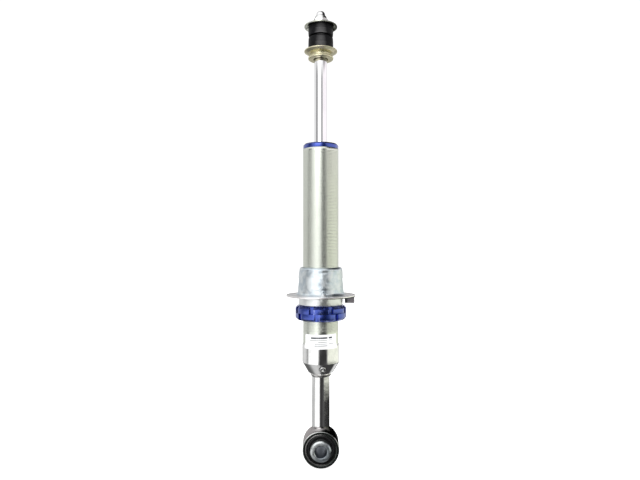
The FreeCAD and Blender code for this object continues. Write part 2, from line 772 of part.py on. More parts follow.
def top_nut():
    """A self-locking nut: a hexagon below and a rounded collar that holds the insert above."""
    hex_top = NUT_BOTTOM + NUT_HEX_HEIGHT
    top = NUT_BOTTOM + NUT_HEIGHT
    inset, drop = NUT_COLLAR_BULGE
    collar = turned(
        (0, NUT_BOTTOM),
        (NUT_COLLAR_RADIUS, NUT_BOTTOM),
        (NUT_COLLAR_RADIUS, hex_top + NUT_COLLAR_SHOULDER),
        (
            (NUT_COLLAR_RADIUS - inset, top - drop),
            (NUT_INSERT_RADIUS - NUT_COLLAR_EDGE, top),
        ),
        (0, top),
    )
    nut = hexagon(NUT_ACROSS_FLATS, NUT_BOTTOM, hex_top).fuse(collar).removeSplitter()
    bore = disc(STUD_RADIUS, NUT_BOTTOM - CUT_OVERRUN, top + CUT_OVERRUN)
    pocket_top = top - NUT_LIP
    pocket = disc(NUT_INSERT_RADIUS, pocket_top - NUT_INSERT_HEIGHT, pocket_top)
    return turned_by(nut.cut(bore).cut(pocket), NUT_TURN)


def top_nut_insert():
    top = NUT_BOTTOM + NUT_HEIGHT - NUT_LIP
    return ring(STUD_RADIUS, NUT_INSERT_RADIUS, top - NUT_INSERT_HEIGHT, top)


# ---- Spring seat and its adjusters -----------------------------------------------------------
ADJUSTER_TOP = COLLAR_BOTTOM - FACE_GAP
ADJUSTER_BOTTOM = ADJUSTER_TOP - RING_HEIGHT
LOCK_TOP = ADJUSTER_BOTTOM - FACE_GAP
LOCK_BOTTOM = LOCK_TOP - RING_HEIGHT


def slotted(blank, bottom, top, first_turn):
    """Cuts the hook-spanner slots round a ring, the first at a turn counted from the front."""
    for k in range(SLOT_COUNT):
        slot = Part.makeBox(
            SLOT_DEPTH * 2,
            SLOT_WIDTH,
            top - bottom + CUT_OVERRUN * 2,
            FreeCAD.Vector(RING_RADIUS - SLOT_DEPTH, -SLOT_WIDTH / 2, bottom - CUT_OVERRUN),
        )
        blank = blank.cut(turned_by(slot, FRONT + first_turn + FULL_TURN * k / SLOT_COUNT))
    return blank


def adjuster_ring():
    """The upper ring: it carries the seat, and its top edge is bevelled."""
    bore = BODY_RADIUS + SLIDING_GAP
    blank = turned(
        (bore, ADJUSTER_BOTTOM),
        (RING_RADIUS, ADJUSTER_BOTTOM),
        (RING_RADIUS, ADJUSTER_TOP - RING_CHAMFER),
        (RING_RADIUS - RING_CHAMFER, ADJUSTER_TOP),
        (bore, ADJUSTER_TOP),
    )
    return slotted(blank, ADJUSTER_BOTTOM, ADJUSTER_TOP, ADJUSTER_SLOT_TURN)


def lock_ring():
    """The lower ring, the same part turned over, which jams the adjuster in place."""
    bore = BODY_RADIUS + SLIDING_GAP
    blank = turned(
        (bore, LOCK_BOTTOM),
        (RING_RADIUS - RING_CHAMFER, LOCK_BOTTOM),
        (RING_RADIUS, LOCK_BOTTOM + RING_CHAMFER),
        (RING_RADIUS, LOCK_TOP),
        (bore, LOCK_TOP),
    )
    return slotted(blank, LOCK_BOTTOM, LOCK_TOP, LOCK_SLOT_TURN)


def seat_carrier():
    """The sliding collar under the seat, with a sleeve that guides it up the tube."""
    bore = BODY_RADIUS + SLIDING_GAP * 2
    sleeve_top = SEAT_TOP - SEAT_SHEET - FACE_GAP
    return turned(
        (bore, COLLAR_BOTTOM),
        (COLLAR_RADIUS - COLLAR_CHAMFER, COLLAR_BOTTOM),
        (COLLAR_RADIUS, COLLAR_BOTTOM + COLLAR_CHAMFER),
        (COLLAR_RADIUS, SEAT_UNDERSIDE - FACE_GAP),
        (CARRIER_SLEEVE_RADIUS, SEAT_UNDERSIDE - FACE_GAP),
        (CARRIER_SLEEVE_RADIUS, sleeve_top),
        (bore, sleeve_top),
    )


def spring_seat():
    """The pressed hat that the coil sits on: a drawn crown, a flat flange, a coil-end stop
    pressed up at the front, and a tab cut from the flange at +X and turned straight down."""
    sheet = SEAT_SHEET
    corner = SEAT_TOP_CORNER
    nook = corner * (1 - math.sqrt(0.5))
    bend = SEAT_FOOT_BEND
    bend_nook = bend * (1 - math.sqrt(0.5))
    flange_top = SEAT_UNDERSIDE + sheet
    inner_top = SEAT_TOP_RADIUS - sheet
    inner_foot = SEAT_FOOT_RADIUS - sheet
    hat = turned(
        (SEAT_HOLE_RADIUS, SEAT_TOP - sheet),
        (inner_top - SEAT_INNER_EASE, SEAT_TOP - sheet),
        (inner_top, SEAT_TOP - corner),
        (inner_foot, flange_top + bend),
        (inner_foot + bend, SEAT_UNDERSIDE),
        (SEAT_FLANGE_RADIUS, SEAT_UNDERSIDE),
        (SEAT_FLANGE_RADIUS, flange_top),
        (SEAT_FOOT_RADIUS + bend, flange_top),
        (
            (SEAT_FOOT_RADIUS + bend_nook, flange_top + bend_nook),
            (SEAT_FOOT_RADIUS, flange_top + bend),
        ),
        (SEAT_TOP_RADIUS, SEAT_TOP - corner),
        ((SEAT_TOP_RADIUS - nook, SEAT_TOP - nook), (SEAT_TOP_RADIUS - corner, SEAT_TOP)),
        (SEAT_HOLE_RADIUS, SEAT_TOP),
    )
    tab = Part.makeBox(
        TAB_OUTER_X - TAB_INNER_X,
        sheet,
        TAB_DROP + sheet / 2,
        FreeCAD.Vector(TAB_INNER_X, -sheet / 2, SEAT_UNDERSIDE - TAB_DROP),
    )
    stop = sector(
        STOP_TURN,
        STOP_SPAN,
        (STOP_INNER_RADIUS, SEAT_UNDERSIDE),
        (STOP_OUTER_RADIUS, SEAT_UNDERSIDE),
        (STOP_OUTER_RADIUS - STOP_TAPER, flange_top + STOP_HEIGHT),
        (STOP_INNER_RADIUS + STOP_TAPER, flange_top + STOP_HEIGHT),
    )
    return hat.fuse(tab).fuse(stop).removeSplitter()


SUB_PARTS = (
    eye_ring,
    eye_weld,
    bush_outer_shell,
    bush_rubber,
    eye_sleeve,
    lower_stem,
    stem_weld,
    base_cup,
    gas_port_plug,
    gas_port_seal,
    body_tube,
    label,
    end_cap,
    end_cap_oring,
    rod_guide_bush,
    rod_seal,
    seal_washer,
    rod_wiper,
    piston_rod,
    piston,
    piston_band,
    compression_shims,
    rebound_shims,
    upper_stop_washer,
    lower_stop_washer,
    piston_nut,
    bumper_clip,
    bumper_washer,
    rebound_bumper,
    floating_piston,
    floating_piston_oring,
    floating_piston_band,
    lower_spacer,
    lower_cup_washer,
    lower_bush,
    bush_crush_sleeve,
    upper_bush,
    upper_cup_washer,
    top_nut,
    top_nut_insert,
    adjuster_ring,
    lock_ring,
    seat_carrier,
    spring_seat,
)

os.makedirs("parts", exist_ok=True)
for make in SUB_PARTS:
    make().exportStep(f"parts/{make.__name__}.step")
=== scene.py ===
import json
import math

import bmesh
import bpy
from mathutils import Matrix, Vector, noise


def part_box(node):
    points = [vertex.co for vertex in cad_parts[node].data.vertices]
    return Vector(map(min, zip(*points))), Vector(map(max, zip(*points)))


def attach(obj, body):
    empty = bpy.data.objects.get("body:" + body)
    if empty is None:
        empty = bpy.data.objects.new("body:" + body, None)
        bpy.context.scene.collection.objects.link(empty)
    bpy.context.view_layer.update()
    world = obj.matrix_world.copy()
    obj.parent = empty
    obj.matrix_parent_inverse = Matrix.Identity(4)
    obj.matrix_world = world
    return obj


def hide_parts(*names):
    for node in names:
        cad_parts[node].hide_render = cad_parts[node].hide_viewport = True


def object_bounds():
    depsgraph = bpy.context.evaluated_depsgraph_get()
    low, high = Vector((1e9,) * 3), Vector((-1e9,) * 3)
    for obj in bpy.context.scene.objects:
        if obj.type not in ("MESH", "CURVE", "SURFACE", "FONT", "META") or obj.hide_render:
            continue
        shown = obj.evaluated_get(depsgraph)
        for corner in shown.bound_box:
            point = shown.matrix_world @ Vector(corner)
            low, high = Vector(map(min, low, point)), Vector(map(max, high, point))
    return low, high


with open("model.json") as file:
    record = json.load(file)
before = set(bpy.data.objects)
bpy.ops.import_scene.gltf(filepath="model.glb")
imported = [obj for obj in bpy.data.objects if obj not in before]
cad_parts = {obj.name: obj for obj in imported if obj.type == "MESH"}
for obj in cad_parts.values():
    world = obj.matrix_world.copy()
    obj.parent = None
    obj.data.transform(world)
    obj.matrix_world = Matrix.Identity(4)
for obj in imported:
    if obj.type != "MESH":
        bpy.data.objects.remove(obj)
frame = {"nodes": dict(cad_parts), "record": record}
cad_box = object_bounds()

# The looks of a height-adjustable strut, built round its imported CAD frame. Everything is in metres:
# +Z runs up the strut, the lower bolt lies along Y, and the label faces -Y.

MM = 0.001
TAU = math.tau
FRONT = -math.pi / 2


# ---- Sizes read from the frame ---------------------------------------------------------------
def radius_of(node):
    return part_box(node)[1].x


def bottom_of(node):
    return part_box(node)[0].z


def top_of(node):
    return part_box(node)[1].z


def half_width_of(node):
    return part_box(node)[1].y


def mount(name):
    return next(m for m in frame["record"]["mounts"] if m["name"] == name)


BODY_OF = {
    node: body for body, nodes in frame["record"]["behaviour"]["bodies"].items() for node in nodes
}
SLOT_OF = {part["node"]: part["material_slot"] for part in frame["record"]["subparts"]}

BOLT_HOLE_R = mount("lower_bolt")["dims"]["r_mm"] * MM
EYE_R = radius_of("eye_ring")
EYE_HALF_WIDTH = half_width_of("eye_ring")
EYE_BORE_R = radius_of("bush_outer_shell")
SHELL_BORE_R = radius_of("bush_rubber")
SLEEVE_R = radius_of("eye_sleeve")
STEM_R = radius_of("lower_stem")
CUP_R = radius_of("base_cup")
CUP_BOTTOM = bottom_of("base_cup")
CUP_TOP = top_of("base_cup")
BODY_R = radius_of("body_tube")
BODY_BOTTOM = bottom_of("body_tube")
BODY_TOP = top_of("body_tube")
BORE_R = radius_of("end_cap_oring")
ROD_R = radius_of("piston_rod")
ROD_BOTTOM = bottom_of("piston_rod")
ROD_TIP = top_of("piston_rod")
CAP_BOTTOM = bottom_of("end_cap")
CAP_TOP = top_of("end_cap")
CAP_R = radius_of("end_cap")
POCKET_R = radius_of("rod_seal")
GUIDE_R = radius_of("rod_guide_bush")
CRUSH_R = radius_of("bush_crush_sleeve")
SEAT_SHEET = 2.5 * MM
SEAT_UNDERSIDE = mount("coil_seat")["pos_m"][2] - SEAT_SHEET
SEAT_TOP = top_of("spring_seat")
SEAT_FLANGE_R = radius_of("spring_seat")
SEAT_FOOT_R = 32.6 * MM
TAB_INNER_X = 33.8 * MM
TAB_OUTER_X = 47.6 * MM
TAB_BOTTOM = bottom_of("spring_seat")
RING_R = radius_of("adjuster_ring")
COLLAR_R = radius_of("seat_carrier")
STUD_R = 6.0 * MM
STUD_END = ROD_TIP - 8 * MM
# The tube's plating is smooth up to the label and grained above it.
SMOOTH_BELOW = 158 * MM
GRAINED_ABOVE = 166 * MM


# ---- Mesh helpers ----------------------------------------------------------------------------
def outline(*corners, steps=4):
    """A closed outline of (radius, height) points in millimetres, returned in metres.
    A corner with a third value is rounded by that radius."""
    points = []
    for k, corner in enumerate(corners):
        here = Vector(corner[:2])
        if len(corner) == 2 or corner[2] == 0:
            points.append(here)
            continue
        back = (Vector(corners[k - 1][:2]) - here).normalized()
        ahead = (Vector(corners[(k + 1) % len(corners)][:2]) - here).normalized()
        half = back.angle(ahead) / 2
        centre = here + (back + ahead).normalized() * corner[2] / math.sin(half)
        first = here + back * corner[2] / math.tan(half) - centre
        last = here + ahead * corner[2] / math.tan(half) - centre
        turn = math.atan2(first.x * last.y - first.y * last.x, first.dot(last))
        for s in range(steps + 1):
            points.append(centre + Matrix.Rotation(turn * s / steps, 2) @ first)
    return [p * MM for p in points]


def mirrored(*corners):
    """The corners of a section's lower half, then the same reflected above height nought."""
    return corners + tuple((r, -h, *edge) for r, h, *edge in reversed(corners))


def in_mm(*values):
    return [v / MM for v in values]


def span_mm(node):
    """A node's lowest and highest heights in millimetres."""
    return in_mm(bottom_of(node), top_of(node))


def about_strut(r, h, angle):
    return Vector((r * math.cos(angle), r * math.sin(angle), h))


def about_bolt(r, h, angle):
    return Vector((r * math.cos(angle), h, r * math.sin(angle)))


def lathe(profile, segments=128, place=about_strut, shape=None):
    """Closed loops, one per angle. shape(r, h, angle) may change a point's radius and height."""
    loops = []
    for angle in angles(segments):
        loop = []
        for r, h in profile:
            if shape:
                r, h = shape(r, h, angle)
            loop.append(place(r, h, angle))
        loops.append(loop)
    return loops


def loft(loops, closed=True):
    """A solid mesh through closed loops, which form a ring themselves or else get a face at each end.
    Points that coincide are joined."""
    mesh = bmesh.new()
    rings = [[mesh.verts.new(p) for p in loop] for loop in loops]
    for ring, following in zip(rings, rings[1:] + rings[:closed]):
        for k, vertex in enumerate(ring):
            j = (k + 1) % len(ring)
            mesh.faces.new((vertex, ring[j], following[j], following[k]))
    if not closed:
        mesh.faces.new(rings[0])
        mesh.faces.new(rings[-1][::-1])
    nearness = 1e-6
    bmesh.ops.remove_doubles(mesh, verts=mesh.verts, dist=nearness)
    bmesh.ops.dissolve_degenerate(mesh, dist=nearness / 2, edges=mesh.edges)
    bmesh.ops.recalc_face_normals(mesh, faces=mesh.faces)
    return mesh


def placed(mesh, matrix):
    bmesh.ops.transform(mesh, matrix=matrix, verts=mesh.verts)
    return mesh


def shares(steps):
    """Evenly spaced values from nought to one."""
    return [k / steps for k in range(steps + 1)]


def angles(count):
    """Evenly spaced angles once round."""
    return [TAU * k / count for k in range(count)]


def smoothstep(low, high, value):
    t = min(1.0, max(0.0, (value - low) / (high - low)))
    return t * t * (3 - 2 * t)


def turn_between(angle, middle):
    """The signed angle from middle to angle, between minus and plus half a turn."""
    return (angle - middle + math.pi) % TAU - math.pi


def from_front(degrees):
    """An angle about the strut, counted from the front towards +X."""
    return FRONT + math.radians(degrees)


def apply_modifiers(obj):
    graph = bpy.context.evaluated_depsgraph_get()
    mesh = bpy.data.meshes.new_from_object(obj.evaluated_get(graph))
    obj.modifiers.clear()
    obj.data = mesh


def bevelled(obj, width, angle, segments):
    bevel = obj.modifiers.new("Bevel", "BEVEL")
    bevel.width = width
    bevel.segments = segments
    bevel.limit_method = "ANGLE"
    bevel.angle_limit = math.radians(angle)
    apply_modifiers(obj)


def mesh_object(name, mesh):
    data = bpy.data.meshes.new(name)
    mesh.to_mesh(data)
    mesh.free()
    obj = bpy.data.objects.new(name, data)
    bpy.context.scene.collection.objects.link(obj)
    return obj


def show(node, obj, crease=33, look=None):
    """Finishes an object and shows it in place of the CAD node: smooth shading with creases, and the
    node's body and material slot. look names a variant of the slot's material."""
    for face in obj.data.polygons:
        face.use_smooth = True
    obj.data.set_sharp_from_angle(angle=math.radians(crease))
    obj.data.materials.clear()
    obj.data.materials.append(material_for(look or SLOT_OF[node]))
    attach(obj, BODY_OF[node])
    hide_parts(node)


def piece(node, mesh, crease=33, look=None):
    show(node, mesh_object(node + "_shown", mesh), crease, look)


def turned_piece(node, profile, segments=128, place=about_strut, shape=None, crease=33, look=None):
    piece(node, loft(lathe(profile, segments, place, shape)), crease, look)


# ---- Node graphs -----------------------------------------------------------------------------
class Graph:
    """Short names for the nodes of one tree. Values may be numbers, colours or sockets."""

    def __init__(self, tree):
        self.tree = tree

    def node(self, kind, *inputs, **settings):
        made = self.tree.nodes.new(kind)
        for key, value in settings.items():
            setattr(made, key, value)
        for socket, value in zip(made.inputs, inputs):
            self.put(socket, value)
        return made

    def put(self, socket, value):
        if isinstance(value, bpy.types.NodeSocket):
            self.tree.links.new(value, socket)
        elif value is not None:
            socket.default_value = value

    def maths(self, operation, *values):
        return self.node("ShaderNodeMath", *values, operation=operation).outputs[0]

    def plus(self, first, second):
        return self.maths("ADD", first, second)

    def minus(self, first, second):
        return self.maths("SUBTRACT", first, second)

    def times(self, first, second):
        return self.maths("MULTIPLY", first, second)

    def joined(self, x, y, z):
        return self.node("ShaderNodeCombineXYZ", x, y, z).outputs[0]

    def fit(self, value, low, high, to_low=0.0, to_high=1.0, smooth=False):
        """Takes low..high to to_low..to_high, and holds the ends."""
        kind = "SMOOTHSTEP" if smooth else "LINEAR"
        return self.node(
            "ShaderNodeMapRange", value, low, high, to_low, to_high, interpolation_type=kind
        ).outputs[0]

    def mix(self, share, first, second):
        made = self.node("ShaderNodeMix", data_type="RGBA")
        self.put(made.inputs["Factor"], share)
        self.put(made.inputs[6], first)
        self.put(made.inputs[7], second)
        return made.outputs[2]


class Finish(Graph):
    """A material that reads an object's own coordinates, in metres."""

    def __init__(self, name):
        self.material = bpy.data.materials.new(name)
        self.material.use_nodes = True
        super().__init__(self.material.node_tree)
        self.place = self.node("ShaderNodeTexCoord").outputs["Object"]
        self.x, self.y, self.z = self.node("ShaderNodeSeparateXYZ", self.place).outputs

    def radius(self, across="y"):
        """The distance from the strut's axis, or from the bolt's axis when across is z."""
        other = self.y if across == "y" else self.z
        squares = self.plus(self.maths("POWER", self.x, 2.0), self.maths("POWER", other, 2.0))
        return self.maths("SQRT", squares)

    def noise(self, size, detail=3.0, rough=0.5, vector=None, distort=0.0):
        """Noise of about one cell for each size in metres, or for each unit of vector when size is
        None, as a value round a half."""
        made = self.node("ShaderNodeTexNoise")
        self.put(made.inputs["Vector"], vector or self.place)
        made.inputs["Scale"].default_value = 1.0 if size is None else 1.0 / size
        made.inputs["Detail"].default_value = detail
        made.inputs["Roughness"].default_value = rough
        made.inputs["Distortion"].default_value = distort
        return made.outputs[0]

    def grain(self, x, y, z, detail=3.0, rough=0.6):
        """Noise with its own number of cells a metre along each axis."""
        cells = self.node("ShaderNodeVectorMath", self.place, (x, y, z), operation="MULTIPLY")
        return self.noise(None, detail, rough, cells.outputs[0])

    def tool_rings(self, reach, height):
        """The fine rings that a lathe tool leaves, from a distance and a height in cells."""
        return self.noise(None, 2.0, 0.6, self.joined(reach, 0.0, height))

    def spread(self, clouds, to_low, to_high):
        """Takes the usual range of a noise to another range."""
        return self.fit(clouds, 0.3, 0.7, to_low, to_high)

    def edge(self, start, end):
        """Nought where the surface faces the eye, rising to one where it turns away."""
        facing = self.node("ShaderNodeLayerWeight", 0.5).outputs["Facing"]
        return self.fit(facing, start, end, smooth=True)

    def bump(self, height, depth, normal=None):
        """Bumps whose full height is depth metres."""
        made = self.node("ShaderNodeBump")
        made.inputs["Strength"].default_value = 1.0
        made.inputs["Distance"].default_value = depth
        self.put(made.inputs["Height"], height)
        self.put(made.inputs["Normal"], normal)
        return made.outputs[0]

    def finish(self, **inputs):
        shader = self.tree.nodes["Principled BSDF"]
        for name, value in inputs.items():
            self.put(shader.inputs[name.replace("_", " ").title().replace("Ior", "IOR")], value)

    def metal(self, base, rough, relief, **more):
        self.finish(base_color=base, metallic=1.0, roughness=rough, normal=relief, **more)


def colour(red, green, blue):
    return (red, green, blue, 1.0)


def grey(level):
    return colour(level, level, level)


# ---- Materials -------------------------------------------------------------------------------
material_makers = {}
made_materials = {}
# Painted shade, laid where a surface turns away from the eye: on the top of the rod's stud and on the
# nut.
EDGE_SHADE = colour(0.12, 0.12, 0.115)


def material(make):
    """Registers a material by its name, which is the name of its slot or of a variant."""
    material_makers[make.__name__] = make
    return make


def material_for(name):
    if name not in made_materials:
        finish = Finish(name)
        material_makers[name](finish)
        made_materials[name] = finish.material
    return made_materials[name]


@material
def polished_chrome(g):
    """Bright plating over a belt-polished surface: faint scratches round the part, and smudges."""
    scratches = g.grain(260, 260, 9000, 2.0)
    smudge = g.noise(14 * MM, 4.0, 0.6)
    haze = g.fit(smudge, 0.42, 0.75, 0.045, 0.15)
    tint = g.mix(g.fit(smudge, 0.35, 0.7), colour(0.91, 0.91, 0.905), colour(0.80, 0.805, 0.80))
    waves = g.bump(g.noise(9 * MM, 2.0), 0.05 * MM)
    g.metal(tint, haze, g.bump(scratches, 0.002 * MM, waves))


@material
def eye_chrome(g):
    """The eye's thin plating over a coarser ground surface, with painted shade that darkens it towards
    +X, a painted dark reflection on its end faces and a painted highlight round their outer edges.
    """
    ground = g.grain(700, 60, 700)
    smudge = g.noise(7 * MM, 4.0, 0.65, distort=0.7)
    # Painted shade: the plating is darkened towards +X, and the noise makes the boundary wander.
    across = g.plus(g.x, g.times(g.minus(smudge, 0.5), 12 * MM))
    shade_to_plus_x = g.fit(across, -6 * MM, 9 * MM, smooth=True)
    from_face = g.minus(EYE_HALF_WIDTH, g.maths("ABSOLUTE", g.y))
    # Painted dark reflection on both end faces.
    face = g.fit(from_face, 0.3 * MM, 0.1 * MM)
    tint = g.mix(shade_to_plus_x, colour(0.44, 0.42, 0.42), colour(0.06, 0.06, 0.056))
    # Painted highlight round the outer edge of each end face. It is also darker towards +X under the
    # painted shade.
    lip = g.fit(from_face, 1.2 * MM, 0.9 * MM)
    lip = g.times(lip, g.fit(g.radius("z"), EYE_R - 2.0 * MM, EYE_R - 1.4 * MM))
    tint = g.mix(lip, tint, g.mix(shade_to_plus_x, colour(0.98, 0.97, 0.96), colour(0.42, 0.42, 0.41)))
    tint = g.mix(face, tint, colour(0.17, 0.19, 0.18))
    # The tint of the edge reflections is painted dark towards +X as well.
    rim = g.mix(shade_to_plus_x, colour(0.75, 0.72, 0.72), grey(0.04))
    haze = g.fit(smudge, 0.35, 0.75, 0.08, 0.22)
    g.metal(tint, haze, g.bump(ground, 0.01 * MM), specular_tint=rim)


@material
def rod_chrome(g):
    """Hard chrome, ground and superfinished: a very fine cross-hatch and a few runs of oil film."""
    hatch = g.grain(1500, 1500, 14000, 2.0, 0.5)
    film = g.grain(90, 90, 25, 3.0, 0.55)
    sheen = g.fit(film, 0.4, 0.75, 0.035, 0.12)
    tint = g.mix(g.fit(film, 0.4, 0.8), colour(0.90, 0.90, 0.91), colour(0.80, 0.79, 0.82))
    # Painted shade on the top of the stud, where its surface turns away from the eye.
    stud_edge_shade = g.times(g.fit(g.z, STUD_END - 1 * MM, STUD_END), g.edge(0.62, 0.90))
    tint = g.mix(stud_edge_shade, tint, EDGE_SHADE)
    g.metal(tint, sheen, g.bump(hatch, 0.0012 * MM))


@material
def satin_zinc(g):
    """Electro-plated zinc on drawn tube: a fine crystalline grain, drawing lines and pale handling
    marks. The tube's foot is smoother than the rest."""
    grain = g.noise(0.45 * MM, 2.0, 0.7)
    drawn = g.grain(1600, 1600, 60)
    cloud = g.noise(22 * MM, 4.0, 0.6)
    marks = g.fit(g.noise(6 * MM, 5.0, 0.7, distort=1.2), 0.62, 0.72)
    foot = g.fit(g.z, SMOOTH_BELOW, GRAINED_ABOVE, 0.45, 1.0, smooth=True)
    open_grain = g.fit(grain, 0.47, 0.60, 0.08, 0.32)
    rough = g.plus(0.09, g.times(open_grain, foot))
    base = g.mix(cloud, colour(0.675, 0.705, 0.635), colour(0.745, 0.775, 0.70))
    base = g.mix(g.times(marks, 0.25), base, colour(0.55, 0.57, 0.52))
    lines = g.bump(drawn, 0.004 * MM)
    g.metal(base, rough, g.bump(grain, 0.003 * MM, lines))


@material
def weld_bead(g):
    """Plated weld metal: bright and pitted, with stains where the heat was."""
    pits = g.noise(0.9 * MM, 4.0, 0.65)
    stain = g.noise(5 * MM, 3.0, 0.6)
    base = g.mix(g.fit(stain, 0.4, 0.65), colour(0.80, 0.80, 0.79), colour(0.40, 0.39, 0.38))
    rough = g.spread(stain, 0.14, 0.36)
    g.metal(base, rough, g.bump(pits, 0.12 * MM))


@material
def bush_steel(g):
    """Zinc-plated steel with turned end faces: rings left by the tool, painted shade in the bore, and
    painted light and shade that make it paler at the upper left and darker at the lower right.
    """
    reach = g.radius("z")
    rings = g.tool_rings(g.times(reach, 5200.0), 0.0)
    patch = g.noise(4 * MM, 4.0, 0.6)
    # Painted shade in the bore.
    bore_shade = g.fit(reach, BOLT_HOLE_R + 0.7 * MM, BOLT_HOLE_R + 0.2 * MM)
    pale = g.mix(patch, colour(0.78, 0.83, 0.84), colour(0.92, 0.95, 0.95))
    shaded_tone = g.mix(patch, colour(0.32, 0.36, 0.39), colour(0.44, 0.48, 0.51))
    # Painted light and shade: paler towards the upper left, darker towards the lower right.
    across = g.minus(g.x, g.times(g.z, 0.7))
    pale = g.mix(g.fit(across, -12 * MM, 6 * MM, smooth=True), pale, shaded_tone)
    base = g.mix(bore_shade, pale, g.mix(patch, colour(0.03, 0.04, 0.06), colour(0.15, 0.18, 0.23)))
    rough = g.spread(patch, 0.26, 0.44)
    g.metal(base, rough, g.bump(rings, 0.02 * MM))


@material
def black_rubber(g):
    """Moulded rubber: a matt skin with a fine texture, and a faint grey bloom."""
    skin = g.noise(0.35 * MM, 3.0, 0.6)
    bloom = g.noise(7 * MM, 5.0, 0.65)
    base = g.mix(g.fit(bloom, 0.40, 0.72), colour(0.007, 0.007, 0.008), colour(0.020, 0.020, 0.021))
    rough = g.spread(bloom, 0.40, 0.52)
    g.finish(base_color=base, roughness=rough, specular_ior_level=0.5, normal=g.bump(skin, 0.03 * MM))


@material
def painted_highlight_rubber(g):
    """The same rubber from a polished mould, a little smoother, with a painted soft highlight where it
    faces the eye that fades to near black where it turns away.
    """
    skin = g.noise(0.5 * MM, 3.0, 0.6)
    bloom = g.noise(5 * MM, 5.0, 0.65)
    facing_highlight = g.mix(g.spread(bloom, 0.0, 1.0), colour(0.095, 0.093, 0.095), colour(0.135, 0.132, 0.134))
    # Painted highlight: lighter where the surface faces the eye, near black where it turns away.
    base = g.mix(g.edge(-0.02, 0.19), facing_highlight, colour(0.006, 0.006, 0.007))
    rough = g.spread(bloom, 0.34, 0.44)
    g.finish(base_color=base, roughness=rough, specular_ior_level=0.1, normal=g.bump(skin, 0.004 * MM))


@material
def blue_anodised(g):
    """Machined aluminium, anodised deep blue: turning marks, and paler worn edges."""
    turning = g.tool_rings(g.times(g.radius(), 3200.0), g.times(g.z, 3200.0))
    dye = g.noise(9 * MM, 4.0, 0.6)
    base = g.mix(dye, colour(0.012, 0.040, 0.33), colour(0.028, 0.078, 0.47))
    edge = g.node("ShaderNodeNewGeometry").outputs["Pointiness"]
    worn = g.times(g.fit(edge, 0.53, 0.60), g.fit(g.noise(1.3 * MM, 3.0), 0.40, 0.62))
    base = g.mix(g.times(worn, 0.6), base, colour(0.42, 0.50, 0.86))
    rough = g.spread(dye, 0.22, 0.34)
    sealed = g.spread(dye, 0.10, 0.18)
    marks = g.bump(turning, 0.006 * MM)
    g.metal(
        base, rough, marks, coat_weight=1.0, coat_ior=1.62, coat_roughness=sealed, coat_normal=marks
    )


@material
def yellow_zinc(g):
    """Yellow passivated zinc: cream to olive with a faint pink and green bloom."""
    cloud = g.noise(7 * MM, 4.0, 0.6, distort=0.8)
    bloom = g.noise(3.2 * MM, 3.0, 0.6)
    grain = g.noise(0.3 * MM, 2.0, 0.6)
    base = g.mix(g.fit(cloud, 0.36, 0.64), colour(0.86, 0.80, 0.56), colour(0.74, 0.72, 0.50))
    base = g.mix(g.fit(bloom, 0.52, 0.70, 0.0, 0.55), base, colour(0.88, 0.70, 0.60))
    base = g.mix(g.fit(bloom, 0.46, 0.28, 0.0, 0.45), base, colour(0.55, 0.66, 0.40))
    rough = g.spread(cloud, 0.32, 0.44)
    g.metal(base, rough, g.bump(grain, 0.008 * MM))


@material
def grey_zinc(g):
    """Zinc whose yellow passivation has faded to grey-green, with painted shade that turns it dark
    olive towards +X.
    """
    cloud = g.noise(8 * MM, 4.0, 0.6, distort=0.8)
    grain = g.noise(0.3 * MM, 2.0, 0.6)
    base = g.mix(g.fit(cloud, 0.38, 0.62), colour(0.72, 0.74, 0.68), colour(0.60, 0.62, 0.50))
    # Painted shade towards +X.
    shade_at_plus_x = g.fit(g.plus(g.x, g.times(cloud, 9 * MM)), 5 * MM, 22 * MM, smooth=True)
    base = g.mix(shade_at_plus_x, base, colour(0.05, 0.055, 0.03))
    rough = g.spread(cloud, 0.16, 0.28)
    g.metal(base, rough, g.bump(grain, 0.008 * MM))


